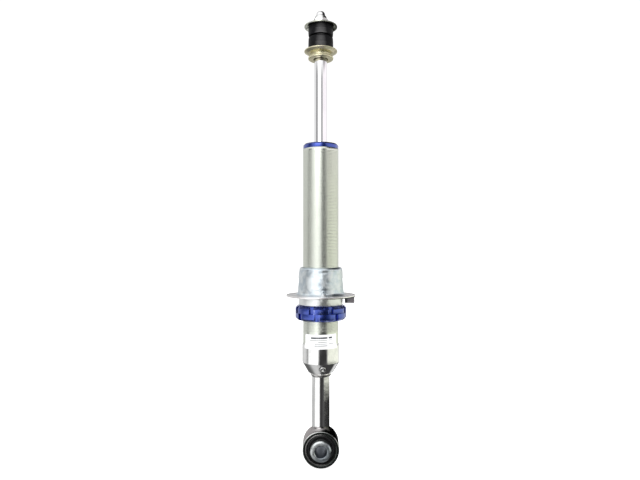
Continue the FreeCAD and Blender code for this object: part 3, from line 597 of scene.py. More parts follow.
@material
def bright_zinc(g):
    """Bright bluish zinc on pressed sheet: soft clouds, spangle, and scuffs from the press tool. The
    flange and the collar are paler; painted shade darkens the flange's lower edge at +X and the tab,
    most where the tab meets the collar."""
    cloud = g.noise(11 * MM, 4.0, 0.6, distort=0.6)
    spangle = g.noise(1.1 * MM, 3.0, 0.6)
    drawn = g.grain(900, 900, 110)
    base = g.mix(g.fit(cloud, 0.36, 0.62), colour(0.50, 0.58, 0.64), colour(0.77, 0.82, 0.84))
    reach = g.radius()
    height = g.minus(g.z, SEAT_UNDERSIDE)
    flange = g.fit(reach, SEAT_FOOT_R + 1 * MM, SEAT_FOOT_R + 4 * MM)
    base = g.mix(flange, base, colour(0.99, 0.97, 0.97))
    base = g.mix(g.fit(spangle, 0.56, 0.72, 0.0, 0.2), base, colour(0.70, 0.78, 0.86))
    rim = g.fit(reach, SEAT_FLANGE_R - 1.6 * MM, SEAT_FLANGE_R - 0.8 * MM)
    rim = g.times(rim, g.fit(height, 1.3 * MM, 0.9 * MM))
    # Painted shade on the flange's lower edge towards +X.
    rim_shade = g.times(rim, g.fit(g.x, 0.1 * COLLAR_R, 0.6 * COLLAR_R, smooth=True))
    base = g.mix(rim_shade, base, colour(0.07, 0.09, 0.08))
    # Painted shade on the tab, darkest next to the collar.
    tab = g.fit(height, -0.4 * MM, -2.2 * MM)
    beyond = g.fit(reach, COLLAR_R + 1 * MM, COLLAR_R + 2 * MM)
    near = g.fit(g.x, TAB_INNER_X + 2 * MM, TAB_INNER_X + 5 * MM)
    shade = g.mix(near, colour(0.04, 0.04, 0.045), colour(0.34, 0.32, 0.34))
    base = g.mix(g.times(tab, beyond), base, shade)
    below = g.fit(height, 0.2 * MM, -0.2 * MM)
    collar = g.times(below, g.minus(1.0, beyond))
    base = g.mix(collar, base, g.mix(cloud, colour(0.84, 0.87, 0.86), colour(0.95, 0.975, 0.96)))
    rough = g.spread(cloud, 0.28, 0.46)
    relief = g.bump(drawn, 0.006 * MM, g.bump(cloud, 0.5 * MM))
    g.metal(base, rough, g.bump(spangle, 0.003 * MM, relief))


@material
def nut_zinc(g):
    """Bright zinc on a cold-formed fastener."""
    cloud = g.noise(4 * MM, 3.0, 0.6)
    dents = g.noise(1.2 * MM, 3.0, 0.6)
    base = g.mix(cloud, colour(0.80, 0.81, 0.80), colour(0.93, 0.94, 0.93))
    # Painted shade where the surface turns away from the eye.
    base = g.mix(g.edge(0.62, 0.90), base, EDGE_SHADE)
    rough = g.spread(cloud, 0.12, 0.22)
    g.metal(base, rough, g.bump(dents, 0.012 * MM), specular_tint=colour(0.25, 0.25, 0.24))


@material
def bare_aluminium(g):
    """Machined aluminium, left bare."""
    marks = g.tool_rings(g.times(g.radius(), 2600.0), g.z)
    tone = g.noise(5 * MM, 3.0)
    base = g.mix(tone, colour(0.74, 0.75, 0.76), colour(0.84, 0.85, 0.86))
    g.metal(base, 0.3, g.bump(marks, 0.015 * MM))


@material
def shim_steel(g):
    """Rolled spring steel: a straight grain and a film of oil."""
    grain = g.grain(150, 4000, 4000)
    film = g.noise(6 * MM, 3.0)
    base = g.mix(film, colour(0.44, 0.46, 0.50), colour(0.60, 0.61, 0.63))
    rough = g.spread(film, 0.18, 0.34)
    g.metal(base, rough, g.bump(grain, 0.006 * MM))


@material
def bearing_bronze(g):
    """Sintered bronze with open pores, lined dark on the sliding face."""
    pores = g.noise(0.25 * MM, 3.0, 0.7)
    lining = g.fit(g.radius(), GUIDE_R - 0.5 * MM, GUIDE_R - 0.9 * MM)
    base = g.mix(pores, colour(0.50, 0.32, 0.14), colour(0.66, 0.47, 0.24))
    base = g.mix(lining, base, grey(0.10))
    g.finish(base_color=base, metallic=0.8, roughness=0.42, normal=g.bump(pores, 0.02 * MM))


@material
def band_polymer(g):
    """Filled low-friction polymer, dark green with pale filler."""
    filler = g.noise(0.4 * MM, 3.0, 0.7)
    base = g.mix(g.fit(filler, 0.45, 0.7), colour(0.05, 0.12, 0.09), colour(0.16, 0.26, 0.20))
    g.finish(base_color=base, roughness=0.5, normal=g.bump(filler, 0.01 * MM))


@material
def insert_nylon(g):
    """Moulded nylon, slightly see-through at the skin."""
    skin = g.noise(0.6 * MM, 3.0, 0.6)
    base = g.mix(skin, colour(0.80, 0.81, 0.78), colour(0.90, 0.91, 0.88))
    g.finish(base_color=base, roughness=0.36, subsurface_weight=0.15, normal=g.bump(skin, 0.02 * MM))


# ---- Label: a white film with generic printed bars --------------------------------------------
LABEL_BOTTOM = bottom_of("label")
LABEL_TOP = top_of("label")
LABEL_HALF_SPAN = math.radians(57.5)
LABEL_CORNER = 1.6 * MM
LABEL_TILT = 0.7 * MM
LABEL_TILT_EASE = 0.45
LABEL_INSET = 0.4 * MM
LABEL_LANDING = 4.0 * MM
LABEL_GAP = 0.02 * MM
LABEL_THICKNESS = 0.12 * MM
PRINT_ROWS = (
    # height above the label's bottom, half thickness, left end, right end (millimetres), darkness
    (15.6, 1.05, -15.0, 17.5, 0.97),
    (12.4, 0.45, -17.0, 17.0, 0.60),
    (9.9, 0.40, -4.0, 10.0, 0.70),
    (7.4, 0.40, -9.0, 19.5, 0.62),
    (5.0, 0.50, -9.0, 9.5, 0.72),
)


@material
def white_label(g):
    """Printed film. The print is bars broken into blocks: it says nothing."""
    along = g.times(g.maths("ARCTAN2", g.x, g.times(g.y, -1.0)), CUP_R)
    slope = LABEL_TILT / (CUP_R * LABEL_HALF_SPAN)
    level = g.minus(g.minus(g.z, LABEL_BOTTOM), g.times(along, slope))
    blocks = g.fit(g.noise(None, 0.0, 0.5, g.joined(g.times(along, 900.0), 0.0, 3.7)), 0.33, 0.41)
    ink = 0.0
    for height, half, left, right, darkness in PRINT_ROWS:
        off = g.maths("ABSOLUTE", g.minus(level, height * MM))
        row = g.fit(off, (half + 0.12) * MM, half * MM)
        start = g.fit(along, left * MM, (left + 0.2) * MM)
        end = g.fit(along, right * MM, (right - 0.2) * MM)
        bar = g.times(g.times(row, start), g.times(end, blocks))
        ink = g.maths("MAXIMUM", ink, g.times(bar, darkness))
    paper = g.noise(3 * MM, 4.0, 0.6)
    base = g.mix(paper, colour(0.88, 0.89, 0.90), colour(0.94, 0.95, 0.95))
    base = g.mix(ink, base, colour(0.02, 0.025, 0.035))
    creases = g.bump(g.noise(5 * MM, 2.0), 0.03 * MM)
    g.finish(base_color=base, roughness=0.34, normal=creases)


def build_label():
    """The film follows the cup, then steps down onto the tube. Its four corners are rounded."""
    low = LABEL_BOTTOM + LABEL_INSET
    height = LABEL_TOP - LABEL_BOTTOM - 2 * LABEL_INSET
    half_length = CUP_R * LABEL_HALF_SPAN
    loops = []
    for column in shares(72):
        across = -1 + 2 * column
        from_end = (1 - abs(across)) * half_length
        cut = 0.0
        if from_end < LABEL_CORNER:
            cut = LABEL_CORNER - math.sqrt(LABEL_CORNER**2 - (LABEL_CORNER - from_end) ** 2)
        angle = FRONT + across * LABEL_HALF_SPAN
        outer = []
        inner = []
        for row in shares(26):
            z = low + cut + (height - 2 * cut) * row
            z += LABEL_TILT * across * (1 - abs(2 * row - 1) * LABEL_TILT_EASE)
            fall = smoothstep(CUP_TOP - CUP_LIP * MM, CUP_TOP + LABEL_LANDING, z)
            r = CUP_R + LABEL_GAP + (BODY_R - CUP_R) * fall
            outer.append(about_strut(r + LABEL_THICKNESS, z, angle))
            inner.append(about_strut(r, z, angle))
        loops.append(outer + inner[::-1])
    piece("label", loft(loops, closed=False), crease=50)


# ---- Lower eye -------------------------------------------------------------------------------
def build_eye():
    """The eye and what is pressed into it: the bush's shell, its rubber and its sleeve."""
    eye, bore, half = in_mm(EYE_R, EYE_BORE_R, EYE_HALF_WIDTH)
    turned_piece(
        "eye_ring",
        outline(*mirrored((bore, -half, 0.5), (eye, -half, 1.2)), steps=6),
        segments=160,
        place=about_bolt,
        look="eye_chrome",
    )
    shell, skin, half = in_mm(EYE_BORE_R, SHELL_BORE_R, half_width_of("bush_outer_shell"))
    turned_piece(
        "bush_outer_shell",
        outline(*mirrored((skin, -half, 0.45), (shell, -half, 0.45))),
        place=about_bolt,
        look="eye_chrome",
    )
    build_bush_rubber()
    sleeve, hole, half = in_mm(SLEEVE_R, BOLT_HOLE_R, half_width_of("eye_sleeve"))
    bevel = 1.8
    mouth = 1.0
    corners = mirrored(
        (hole, -half + mouth, 0.2),
        (hole + mouth, -half, 0.2),
        (sleeve - bevel, -half, 0.3),
        (sleeve, -half + bevel, 0.3),
    )
    turned_piece("eye_sleeve", outline(*corners, steps=3), place=about_bolt)


def build_bush_rubber():
    """Bonded rubber: each face is dished, with a lip where it climbs the shell and the sleeve."""
    edge = half_width_of("bush_rubber")
    inner = SLEEVE_R + 0.05 * MM
    outer = SHELL_BORE_R
    dish = 4.2 * MM
    face = []
    for share in shares(18):
        depth = dish * math.sin(math.pi * share) ** 0.7
        ripple = 0.12 * MM * math.cos(share * math.pi * 6)
        face.append((inner + (outer - inner) * share, depth + ripple))
    profile = [(r, -edge + d) for r, d in face]
    profile += [(r, edge - d) for r, d in reversed(face)]
    turned_piece("bush_rubber", profile, place=about_bolt, crease=60)


def saddle_height(x, r):
    """The height of a cylinder of radius r about the bolt, at x from the strut's axis."""
    return math.sqrt(r * r - x * x)


def build_stem():
    """The stem's wall, its lower edge coped to the round of the eye."""
    sink = 0.4 * MM
    wall = 2.5 * MM

    def coped(r, h, angle):
        if h < EYE_R:
            h = saddle_height(STEM_R * math.cos(angle), EYE_R - sink)
        return r, h

    low = EYE_R * 0.5
    start = EYE_R + 1.5 * MM
    side = [(STEM_R, start + (CUP_BOTTOM - start) * share) for share in shares(24)]
    profile = [(STEM_R - wall, low), (STEM_R, low)] + side + [(STEM_R - wall, CUP_BOTTOM)]
    turned_piece("lower_stem", profile, shape=coped)


BEAD_CREST = 0.16
BEAD_UNEVENNESS = 0.12


def bead_ripple(angle, count, seed):
    """The scalloped crest of a weld laid as overlapping drops, with a little unevenness."""
    drop = (angle / TAU * count) % 1.0
    uneven = noise.noise(Vector((math.cos(angle) * 2.3, math.sin(angle) * 2.3, seed)))
    crest = (drop * (1 - drop) * 4) ** 0.6
    return (crest - 0.5) * BEAD_CREST + uneven * BEAD_UNEVENNESS


EYE_WELD_HALF_WIDTH = 16.6 * MM


def build_eye_weld():
    """The fillet weld round the saddle where the stem stands on the eye."""
    drops = 46
    leg = 5.4 * MM
    sink = 0.6 * MM
    loops = []
    for angle in angles(240):
        out = Vector((math.cos(angle), math.sin(angle), 0))
        foot = out * STEM_R
        foot.z = saddle_height(foot.x, EYE_R)
        reach = leg * (1 + bead_ripple(angle, drops, 4.0))
        toe = foot + out * reach
        toe.y = max(-EYE_WELD_HALF_WIDTH, min(EYE_WELD_HALF_WIDTH, toe.y))
        toe.z = saddle_height(toe.x, EYE_R)
        crown = foot + Vector((0, 0, reach))
        root = foot - out * sink - Vector((0, 0, sink))
        curve = [crown.lerp(foot, share).lerp(foot.lerp(toe, share), share) for share in shares(8)]
        sunk_crown = crown - out * sink
        sunk_toe = toe - Vector((toe.x, 0, toe.z)).normalized() * sink
        loops.append([sunk_crown] + curve + [sunk_toe, root])
    piece("eye_weld", loft(loops), crease=60, look="eye_chrome")


def build_stem_weld():
    """The weld collar under the cup: fuller near its top, with drops that lean round the stem."""
    low = bottom_of("stem_weld")
    height = CUP_BOTTOM - low
    swell = 2.0 * MM
    drops = 40
    ripple = 1.1 * MM
    spiral = 0.06
    outer = []
    for share in shares(14):
        bulge = swell * math.sin(math.pi * (0.06 + 0.72 * share)) ** 0.8
        outer.append((STEM_R + 0.2 * MM + bulge, low + height * share))
    profile = [(STEM_R, low)] + outer + [(STEM_R, CUP_BOTTOM)]

    def rippled(r, h, angle):
        lean = (h - low) / height
        swelling = (r - STEM_R) / swell
        return r + swelling * ripple * bead_ripple(angle + lean * spiral, drops, 9.0), h

    turned_piece("stem_weld", profile, 240, shape=rippled, crease=60)


# ---- Base cup and gas port -------------------------------------------------------------------
CUP_FOOT_R = 17.65 * MM
CUP_CONE_TOP = CUP_BOTTOM + 14.6 * MM
CUP_FLOOR = CUP_BOTTOM + 6.6 * MM
CUP_FLOOR_R = 14.0 * MM
CUP_LIP = 1.0
PORT_HOLE_R = 3.0
PORT_RECESS_R = 5.2
SEAL_R = 4.9
SEAL_HALF_HEIGHT = 0.45


def port_matrix():
    """Takes +Z at the origin to the outward normal of the cone at the gas port's recess."""
    low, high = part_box("gas_port_seal")
    middle = (low + high) / 2
    lean = math.atan2(CUP_R - CUP_FOOT_R, CUP_CONE_TOP - CUP_BOTTOM)
    flat = Vector((middle.x, middle.y, 0)).normalized()
    normal = flat * math.cos(lean) - Vector((0, 0, 1)) * math.sin(lean)
    return Matrix.Translation(middle) @ normal.to_track_quat("Z", "Y").to_matrix().to_4x4()


def build_cup():
    """The cup: a rounded foot, a cone and a rim, with the gas port's recess and hole cut in it."""
    cup, foot, low, cone, top = in_mm(CUP_R, CUP_FOOT_R, CUP_BOTTOM, CUP_CONE_TOP, CUP_TOP)
    body, bore, tube, floor, floor_r = in_mm(BODY_R, BORE_R, BODY_BOTTOM, CUP_FLOOR, CUP_FLOOR_R)
    profile = outline(
        (0, low),
        (foot, low, 0.7),
        (cup, cone, 1.6),
        (cup, top - CUP_LIP, 0.3),
        (cup - CUP_LIP, top, 0.3),
        (body, top),
        (body, tube),
        (bore, tube),
        (bore, cone),
        (floor_r, floor),
        (0, floor),
        steps=5,
    )
    obj = mesh_object("base_cup_shown", loft(lathe(profile, 192)))
    mouth = 1.1
    flare = 2.8
    recess = outline(
        (0, -SEAL_HALF_HEIGHT),
        (PORT_RECESS_R, -SEAL_HALF_HEIGHT, 0.3),
        (PORT_RECESS_R, mouth),
        (PORT_RECESS_R + flare, mouth + flare),
        (0, 9),
    )
    hole = outline((0, -14), (PORT_HOLE_R, -14), (PORT_HOLE_R, 1), (0, 1))
    for profile in (recess, hole):
        cutter = mesh_object("cutter", placed(loft(lathe(profile, 64)), port_matrix()))
        cut = obj.modifiers.new("Cut", "BOOLEAN")
        cut.operation = "DIFFERENCE"
        cut.solver = "EXACT"
        cut.object = cutter
        apply_modifiers(obj)
        bpy.data.objects.remove(cutter)
    show("base_cup", obj, crease=24)


def hexagon_reach(across_flats, angle):
    """The distance from a hexagon's middle to its side, at an angle."""
    sixth = math.pi / 3
    return across_flats / 2 / math.cos((angle + sixth / 2) % sixth - sixth / 2)


def build_plug():
    """The socket screw in the cup's cone, and the ring under its head."""
    head = 4.5
    under = SEAL_HALF_HEIGHT
    top = under + 2.0
    shank = PORT_HOLE_R - 0.05
    end = under - 4.2
    across_socket = 3.0
    socket_floor = top - 1.7
    loops = []
    for angle in angles(96):
        wall = hexagon_reach(across_socket, angle)
        profile = outline(
            (0, end),
            (shank - 0.5, end),
            (shank, end + 0.5),
            (shank, under),
            (head - 0.15, under),
            (head, under + 0.15),
            (head, top - 0.6),
            (head - 0.12, top - 0.28),
            (head - 0.35, top - 0.08),
            (head - 0.7, top),
            (wall + 0.25, top),
            (wall, top - 0.25),
            (wall, socket_floor),
            (0, socket_floor - 0.4),
        )
        loops.append([about_strut(r, h, angle) for r, h in profile])
    piece("gas_port_plug", placed(loft(loops), port_matrix()))
    seal = outline(*mirrored((PORT_HOLE_R, -SEAL_HALF_HEIGHT), (SEAL_R, -SEAL_HALF_HEIGHT, 0.3)))
    piece("gas_port_seal", placed(loft(lathe(seal, 64)), port_matrix()))


# ---- Body tube with its thread ---------------------------------------------------------------
THREAD_PITCH = 2.0 * MM
THREAD_DEPTH = 0.16 * MM
THREAD_BOTTOM = LABEL_TOP + 1.5 * MM
THREAD_TOP = BODY_TOP - 3.0 * MM
THREAD_ROWS_PER_TURN = 12


def thread_cut(z, angle):
    """How deep the thread is cut at a point: a narrow groove between wide flat crests."""
    phase = ((z - THREAD_BOTTOM) / THREAD_PITCH - angle / TAU) % 1.0
    groove = smoothstep(0.13, 0.02, abs(phase - 0.5))
    runs = smoothstep(THREAD_BOTTOM, THREAD_BOTTOM + THREAD_PITCH, z)
    runs *= smoothstep(THREAD_TOP, THREAD_TOP - THREAD_PITCH, z)
    return THREAD_DEPTH * groove * runs


def build_tube():
    """The pressure tube, with rows close enough to carry the thread's spiral."""
    rows = round((THREAD_TOP - THREAD_BOTTOM) / THREAD_PITCH * THREAD_ROWS_PER_TURN)
    rises = [THREAD_BOTTOM + (THREAD_TOP - THREAD_BOTTOM) * k / rows for k in range(rows + 1)]
    outer = [(BODY_R, z) for z in [BODY_BOTTOM, CUP_TOP] + rises + [BODY_TOP - 0.3 * MM]]
    profile = [(BORE_R, BODY_BOTTOM)] + outer + [(BODY_R - 0.3 * MM, BODY_TOP), (BORE_R, BODY_TOP)]

    def threaded(r, h, angle):
        if r > BODY_R - 0.01 * MM:
            r -= thread_cut(h, angle)
        return r, h

    turned_piece("body_tube", profile, 72, shape=threaded, crease=50)


# ---- End cap, wiper, rod ---------------------------------------------------------------------
def build_end_cap():
    """The cap: chamfered rim, pocket for the wiper and seal, groove for the sealing ring."""
    cap, bore, pocket, guide, rod = in_mm(CAP_R, BORE_R, POCKET_R, GUIDE_R, ROD_R)
    low, neck, top = in_mm(CAP_BOTTOM, BODY_TOP, CAP_TOP)
    seal = bottom_of("rod_seal") / MM
    guide_low, guide_top = span_mm("rod_guide_bush")
    ring_low, ring_top = span_mm("end_cap_oring")
    slack = 0.3
    hole = rod + 0.5
    groove = bore - 2.6
    chamfer = 2.0
    profile = outline(
        (hole, low),
        (bore - 1, low),
        (bore, low + 1),
        (bore, ring_low - slack),
        (groove, ring_low - slack),
        (groove, ring_top + slack),
        (bore, ring_top + slack),
        (bore, neck),
        (cap, neck, 0.25),
        (cap, top - chamfer, 0.35),
        (cap - chamfer, top, 0.5),
        (pocket, top, 0.25),
        (pocket, seal),
        (hole, seal),
        (hole, guide_top),
        (guide, guide_top),
        (guide, guide_low),
        (hole, guide_low),
    )
    turned_piece("end_cap", profile, 160)


def build_wiper():
    """The wiper, with a thin lip that stands up round the rod."""
    rod, pocket = in_mm(ROD_R, POCKET_R)
    low, top = span_mm("rod_wiper")
    bore = rod + 0.05
    face = top - 1.2
    profile = outline(
        (bore, low),
        (pocket, low),
        (pocket, face, 0.3),
        (rod + 2.4, face, 0.4),
        (rod + 0.6, top, 0.2),
        (bore, top, 0.1),
    )
    turned_piece("rod_wiper", profile, 96)


def build_rod():
    """The ground rod, with a stud at each end, a groove for the bumper clip and a rounded tip."""
    rod, stud, low, tip = in_mm(ROD_R, STUD_R, ROD_BOTTOM, ROD_TIP)
    shoulder = bottom_of("lower_spacer") / MM + SPACER_RECESS_DEPTH
    foot = top_of("upper_stop_washer") / MM
    clip_low, clip_top = span_mm("bumper_clip")
    groove = rod - 1
    dome = 4.6
    profile = outline(
        (0, low),
        (stud - 1, low),
        (stud, low + 1),
        (stud, foot),
        (rod, foot, 0.3),
        (rod, clip_low),
        (groove, clip_low),
        (groove, clip_top),
        (rod, clip_top),
        (rod, shoulder, 0.5),
        (stud, shoulder),
        (stud, tip, dome),
        (0, tip),
        steps=8,
    )
    turned_piece("piston_rod", profile)


# ---- Upper mounting --------------------------------------------------------------------------
SPACER_RECESS_DEPTH = 4.4
SPACER_RECESS_R = 10.4
SPACER_NECK_R = 14.0
SPACER_FLANGE_HEIGHT = 3.7
WASHER_SHEET = 2.4
WASHER_LIP = 1.4
WASHER_FLAT_R = 18.4
STUD_HOLE_R = 6.1
BUSH_WALL_R = 17.35
BUSH_EDGE = 1.3
BUSH_BARREL = 0.28
MOULD_LINE = 0.10
SPIGOT_R = 13.5
SPIGOT_HEIGHT = 2.2
NUT_FLATS = 18.0
NUT_HEX_HEIGHT = 8.0
NUT_COLLAR_R = 8.3
NUT_TURN = math.radians(12)
INSERT_R = 7.2
INSERT_FLOOR_DEPTH = 3.5
INSERT_TOP_DEPTH = 0.5


def build_spacer():
    """The flanged collar on the rod's shoulder: a thick rolled lip under a narrower neck."""
    outer = radius_of("lower_spacer") / MM
    low, top = span_mm("lower_spacer")
    flange_top = low + SPACER_FLANGE_HEIGHT
    floor = low + SPACER_RECESS_DEPTH
    profile = outline(
        (SPACER_RECESS_R, low, 0.7),
        (outer, low, 1.4),
        (outer, flange_top, 1.4),
        (SPACER_NECK_R, flange_top, 0.6),
        (SPACER_NECK_R, top),
        (STUD_HOLE_R, top),
        (STUD_HOLE_R, floor),
        (SPACER_RECESS_R, floor),
        steps=6,
    )
    turned_piece("lower_spacer", profile)


def build_cup_washer(node, rim_up, look=None):
    """A pressed washer: a flat middle and a rim that flares away from it."""
    low, top = span_mm(node)
    outer = radius_of(node) / MM
    height = top - low
    rise = height - WASHER_LIP
    flare = math.atan2(rise, outer - WASHER_FLAT_R)
    inner_flat = WASHER_FLAT_R - WASHER_SHEET * math.tan(flare / 2)
    inner_rim = inner_flat + (height - WASHER_SHEET) / math.tan(flare)
    base = low if rim_up else top
    up = 1 if rim_up else -1
    profile = outline(
        (STUD_HOLE_R, base),
        (WASHER_FLAT_R, base, 2.0),
        (outer, base + up * rise, 0.5),
        (outer, base + up * height, 0.5),
        (inner_rim, base + up * height, 0.7),
        (inner_flat, base + up * WASHER_SHEET, 1.2),
        (STUD_HOLE_R, base + up * WASHER_SHEET),
        steps=6,
    )

    def pressed(r, h, angle):
        share = smoothstep(12 * MM, outer * MM, r)
        wave = noise.noise(Vector((math.cos(angle) * 1.4, math.sin(angle) * 1.4, base)))
        return r + share * wave * 0.12 * MM, h

    turned_piece(node, profile, 160, shape=pressed, look=look)


def build_bush(node, spigot=False):
    """A rubber bush: rounded edges, a slight barrel from the clamp, and a faint mould line. A spigot
    on its top leaves a groove under the next bush."""
    core = CRUSH_R / MM
    low, top = span_mm(node)
    if spigot:
        top -= SPIGOT_HEIGHT
    height = top - low
    quarter = [math.pi / 2 * share for share in shares(5)]
    profile = [(core, low)]
    for a in quarter[:-1]:
        inset = BUSH_EDGE * (1 - math.sin(a))
        profile.append((BUSH_WALL_R - inset, low + BUSH_EDGE * (1 - math.cos(a))))
    for share in shares(14):
        bulge = BUSH_BARREL * math.sin(math.pi * share)
        bulge += MOULD_LINE * math.exp(-(((share - 0.5) * height) ** 2) / 0.05)
        profile.append((BUSH_WALL_R + bulge, low + BUSH_EDGE + (height - 2 * BUSH_EDGE) * share))
    for a in quarter[1:]:
        inset = BUSH_EDGE * (1 - math.cos(a))
        profile.append((BUSH_WALL_R - inset, top - BUSH_EDGE * (1 - math.sin(a))))
    if spigot:
        profile += [(SPIGOT_R, top), (SPIGOT_R, top + SPIGOT_HEIGHT)]
        top += SPIGOT_HEIGHT
    profile.append((core, top))
    turned_piece(node, outline(*profile), crease=45, look="painted_highlight_rubber")


def build_top_nut():
    """A self-locking nut: a hexagon with chamfered corners and a rounded collar round its insert."""
    stud = STUD_R / MM
    low, top = span_mm("top_nut")
    half = NUT_FLATS / 2
    hex_top = low + NUT_HEX_HEIGHT
    shoulder = hex_top + 1.2
    mouth = INSERT_R - 0.6
    insert_floor = top - INSERT_FLOOR_DEPTH
    insert_top = top - INSERT_TOP_DEPTH
    loops = []
    for angle in angles(120):
        reach = hexagon_reach(NUT_FLATS, angle)
        crown = max(0.0, reach - half - 0.1) * 0.55
        profile = [
            (stud, low),
            (half - 0.3, low),
            (reach - 0.15, low + crown + 0.15),
            (reach, low + crown + 0.4),
            (reach, hex_top - crown - 0.4),
            (reach - 0.15, hex_top - crown - 0.15),
            (half - 0.35, hex_top),
            (NUT_COLLAR_R + 0.12, hex_top + 0.15),
            (NUT_COLLAR_R, hex_top + 0.5),
        ]
        for share in shares(6):
            bend = math.pi / 2 * share
            dome_r = mouth + (NUT_COLLAR_R - mouth) * math.cos(bend)
            profile.append((dome_r, shoulder + (top - shoulder) * math.sin(bend)))
        profile += [
            (INSERT_R - 0.7, top - 0.3),
            (INSERT_R, insert_top),
            (INSERT_R, insert_floor),
            (stud, insert_floor),
        ]
        loops.append([about_strut(r, h, angle + NUT_TURN) for r, h in outline(*profile)])
    piece("top_nut", loft(loops), crease=28)
    insert = outline(
        (stud, insert_floor), (INSERT_R, insert_floor), (INSERT_R, insert_top), (stud, insert_top, 0.4)
    )
    turned_piece("top_nut_insert", insert, 64)


# ---- Adjuster rings --------------------------------------------------------------------------
SLOT_COUNT = 8
ADJUSTER_FIRST_SLOT = 23.2
LOCK_FIRST_SLOT = -8.5
SLOT_HALF_WIDTH = 3.25 * MM
SLOT_DEPTH = 3.3 * MM
RING_CHAMFER = 3.0 * MM
BORE_EASE = 0.6 * MM
RUNNING_GAP = 0.05 * MM
LEAST_CHAMFER = 0.02 * MM
LAND_COLUMNS = 12
FLOOR_COLUMNS = 4


def build_ring(node, first_slot, chamfer_up):
    """A slotted ring: each slot has parallel walls, so its floor is laid between two wall lines."""
    low, top = bottom_of(node), top_of(node)
    bore = BODY_R + RUNNING_GAP
    eased = bore + BORE_EASE
    floor_r = RING_R - SLOT_DEPTH
    mouth = math.asin(SLOT_HALF_WIDTH / RING_R)
    foot = math.asin(SLOT_HALF_WIDTH / floor_r)
    pitch = TAU / SLOT_COUNT
    loops = []

    def column(angle, bore_angle, reach):
        inset = min(RING_CHAMFER, max(LEAST_CHAMFER, reach - (RING_R - RING_CHAMFER)))
        face_r = reach - inset
        if chamfer_up:
            corners = [(reach, low), (reach, top - inset), (face_r, top)]
        else:
            corners = [(face_r, low), (reach, low + inset), (reach, top)]
        inner = [(eased, top), (bore, top - BORE_EASE), (bore, low + BORE_EASE), (eased, low)]
        loop = [about_strut(r, h, angle) for r, h in corners]
        loop += [about_strut(r, h, bore_angle) for r, h in inner]
        loops.append(loop)

    for s in range(SLOT_COUNT):
        middle = from_front(first_slot) + pitch * s
        for share in shares(LAND_COLUMNS):
            angle = middle - pitch + mouth + (pitch - 2 * mouth) * share
            column(angle, angle, RING_R)
        for k in range(FLOOR_COLUMNS + 1):
            share = k / FLOOR_COLUMNS
            angle = middle - foot + 2 * foot * share
            column(angle, middle - mouth + 2 * mouth * (k + 0.5) / (FLOOR_COLUMNS + 1), floor_r)
    obj = mesh_object(node + "_shown", loft(loops))
    bevelled(obj, 0.35 * MM, angle=25, segments=3)
    show(node, obj, crease=40)


# ---- Seat carrier and spring seat ------------------------------------------------------------
SEAT_TOP_R = 29.7 * MM
STOP_DEGREES = 5.5
STOP_HEIGHT = 4.6 * MM
STOP_INNER_R = 36 * MM


def build_carrier():
    """The collar that turns on the tube, with the sleeve that centres the seat."""
    outer = COLLAR_R / MM
    low, top = span_mm("seat_carrier")
    slack = 0.1
    shoulder = SEAT_UNDERSIDE / MM - slack
    bore = BODY_R / MM + slack
    sleeve = 26.4
    profile = outline(
        (bore, low, 0.4),
        (outer, low, 1.6),
        (outer, shoulder, 0.3),
        (sleeve, shoulder),
        (sleeve, top, 0.3),
        (bore, top, 0.3),
    )
    turned_piece("seat_carrier", profile, 160)


def seat_section():
    """The seat's section: crown, drawn wall, foot bend and flange."""
    sheet, foot, crown = in_mm(SEAT_SHEET, SEAT_FOOT_R, SEAT_TOP_R)
    low, top, rim = in_mm(SEAT_UNDERSIDE, SEAT_TOP, SEAT_FLANGE_R)
    flange = low + sheet
    bend_r = foot + 1.2
    bend_top = flange + 3.4
    hole = 25.6
    return outline(
        (hole, top, 0.5),
        (crown, top, 3.6),
        (foot, bend_top, 2.0),
        (bend_r, flange, 4.0),
        (rim, flange, 0.4),
        (rim, low, 0.4),
        (bend_r - sheet, low, 5.0),
        (foot - sheet, bend_top, 1.6),
        (crown - sheet, top - sheet, 1.1),
        (hole, top - sheet, 0.5),
    )


def evenly(points, longest):
    """The same closed outline with no side longer than longest."""
    fine = []
    for here, there in zip(points, points[1:] + points[:1]):
        pieces = max(1, math.ceil((there - here).length / longest))
        fine += [here.lerp(there, k / pieces) for k in range(pieces)]
    return fine


def seat_waves(h, angle):
    """Slow unevenness of a deep-drawn pressing, and the two lines its press rings left, as an
    outward push."""
    around = Vector((math.cos(angle), math.sin(angle), 0))
    push = noise.noise(around * 2.6 + Vector((0, 0, h * 95))) * 0.42
    push += noise.noise(around * 6.0 + Vector((0, 0, h * 240))) * 0.15
    for level, seed in ((SEAT_TOP - 7.5 * MM, 3.0), (SEAT_UNDERSIDE + 10.5 * MM, 8.0)):
        wander = noise.noise(around * 1.9 + Vector((0, 0, seed))) * 3.4 * MM
        strength = noise.noise(around * 2.8 + Vector((0, 0, seed * 2)))
        off = (h - level - wander) / (1.1 * MM)
        push += 0.9 * strength * math.exp(-off * off)
    return push * MM


def stop_bump(r, angle):
    """How high the coil-end stop stands at a point of the flange: a gusset that falls outwards."""
    turn = abs(math.degrees(turn_between(angle, from_front(STOP_DEGREES))))
    side = smoothstep(6.2, 1.2, turn)
    fall = smoothstep(SEAT_FLANGE_R - 1.5 * MM, STOP_INNER_R, r)
    return STOP_HEIGHT * side * fall


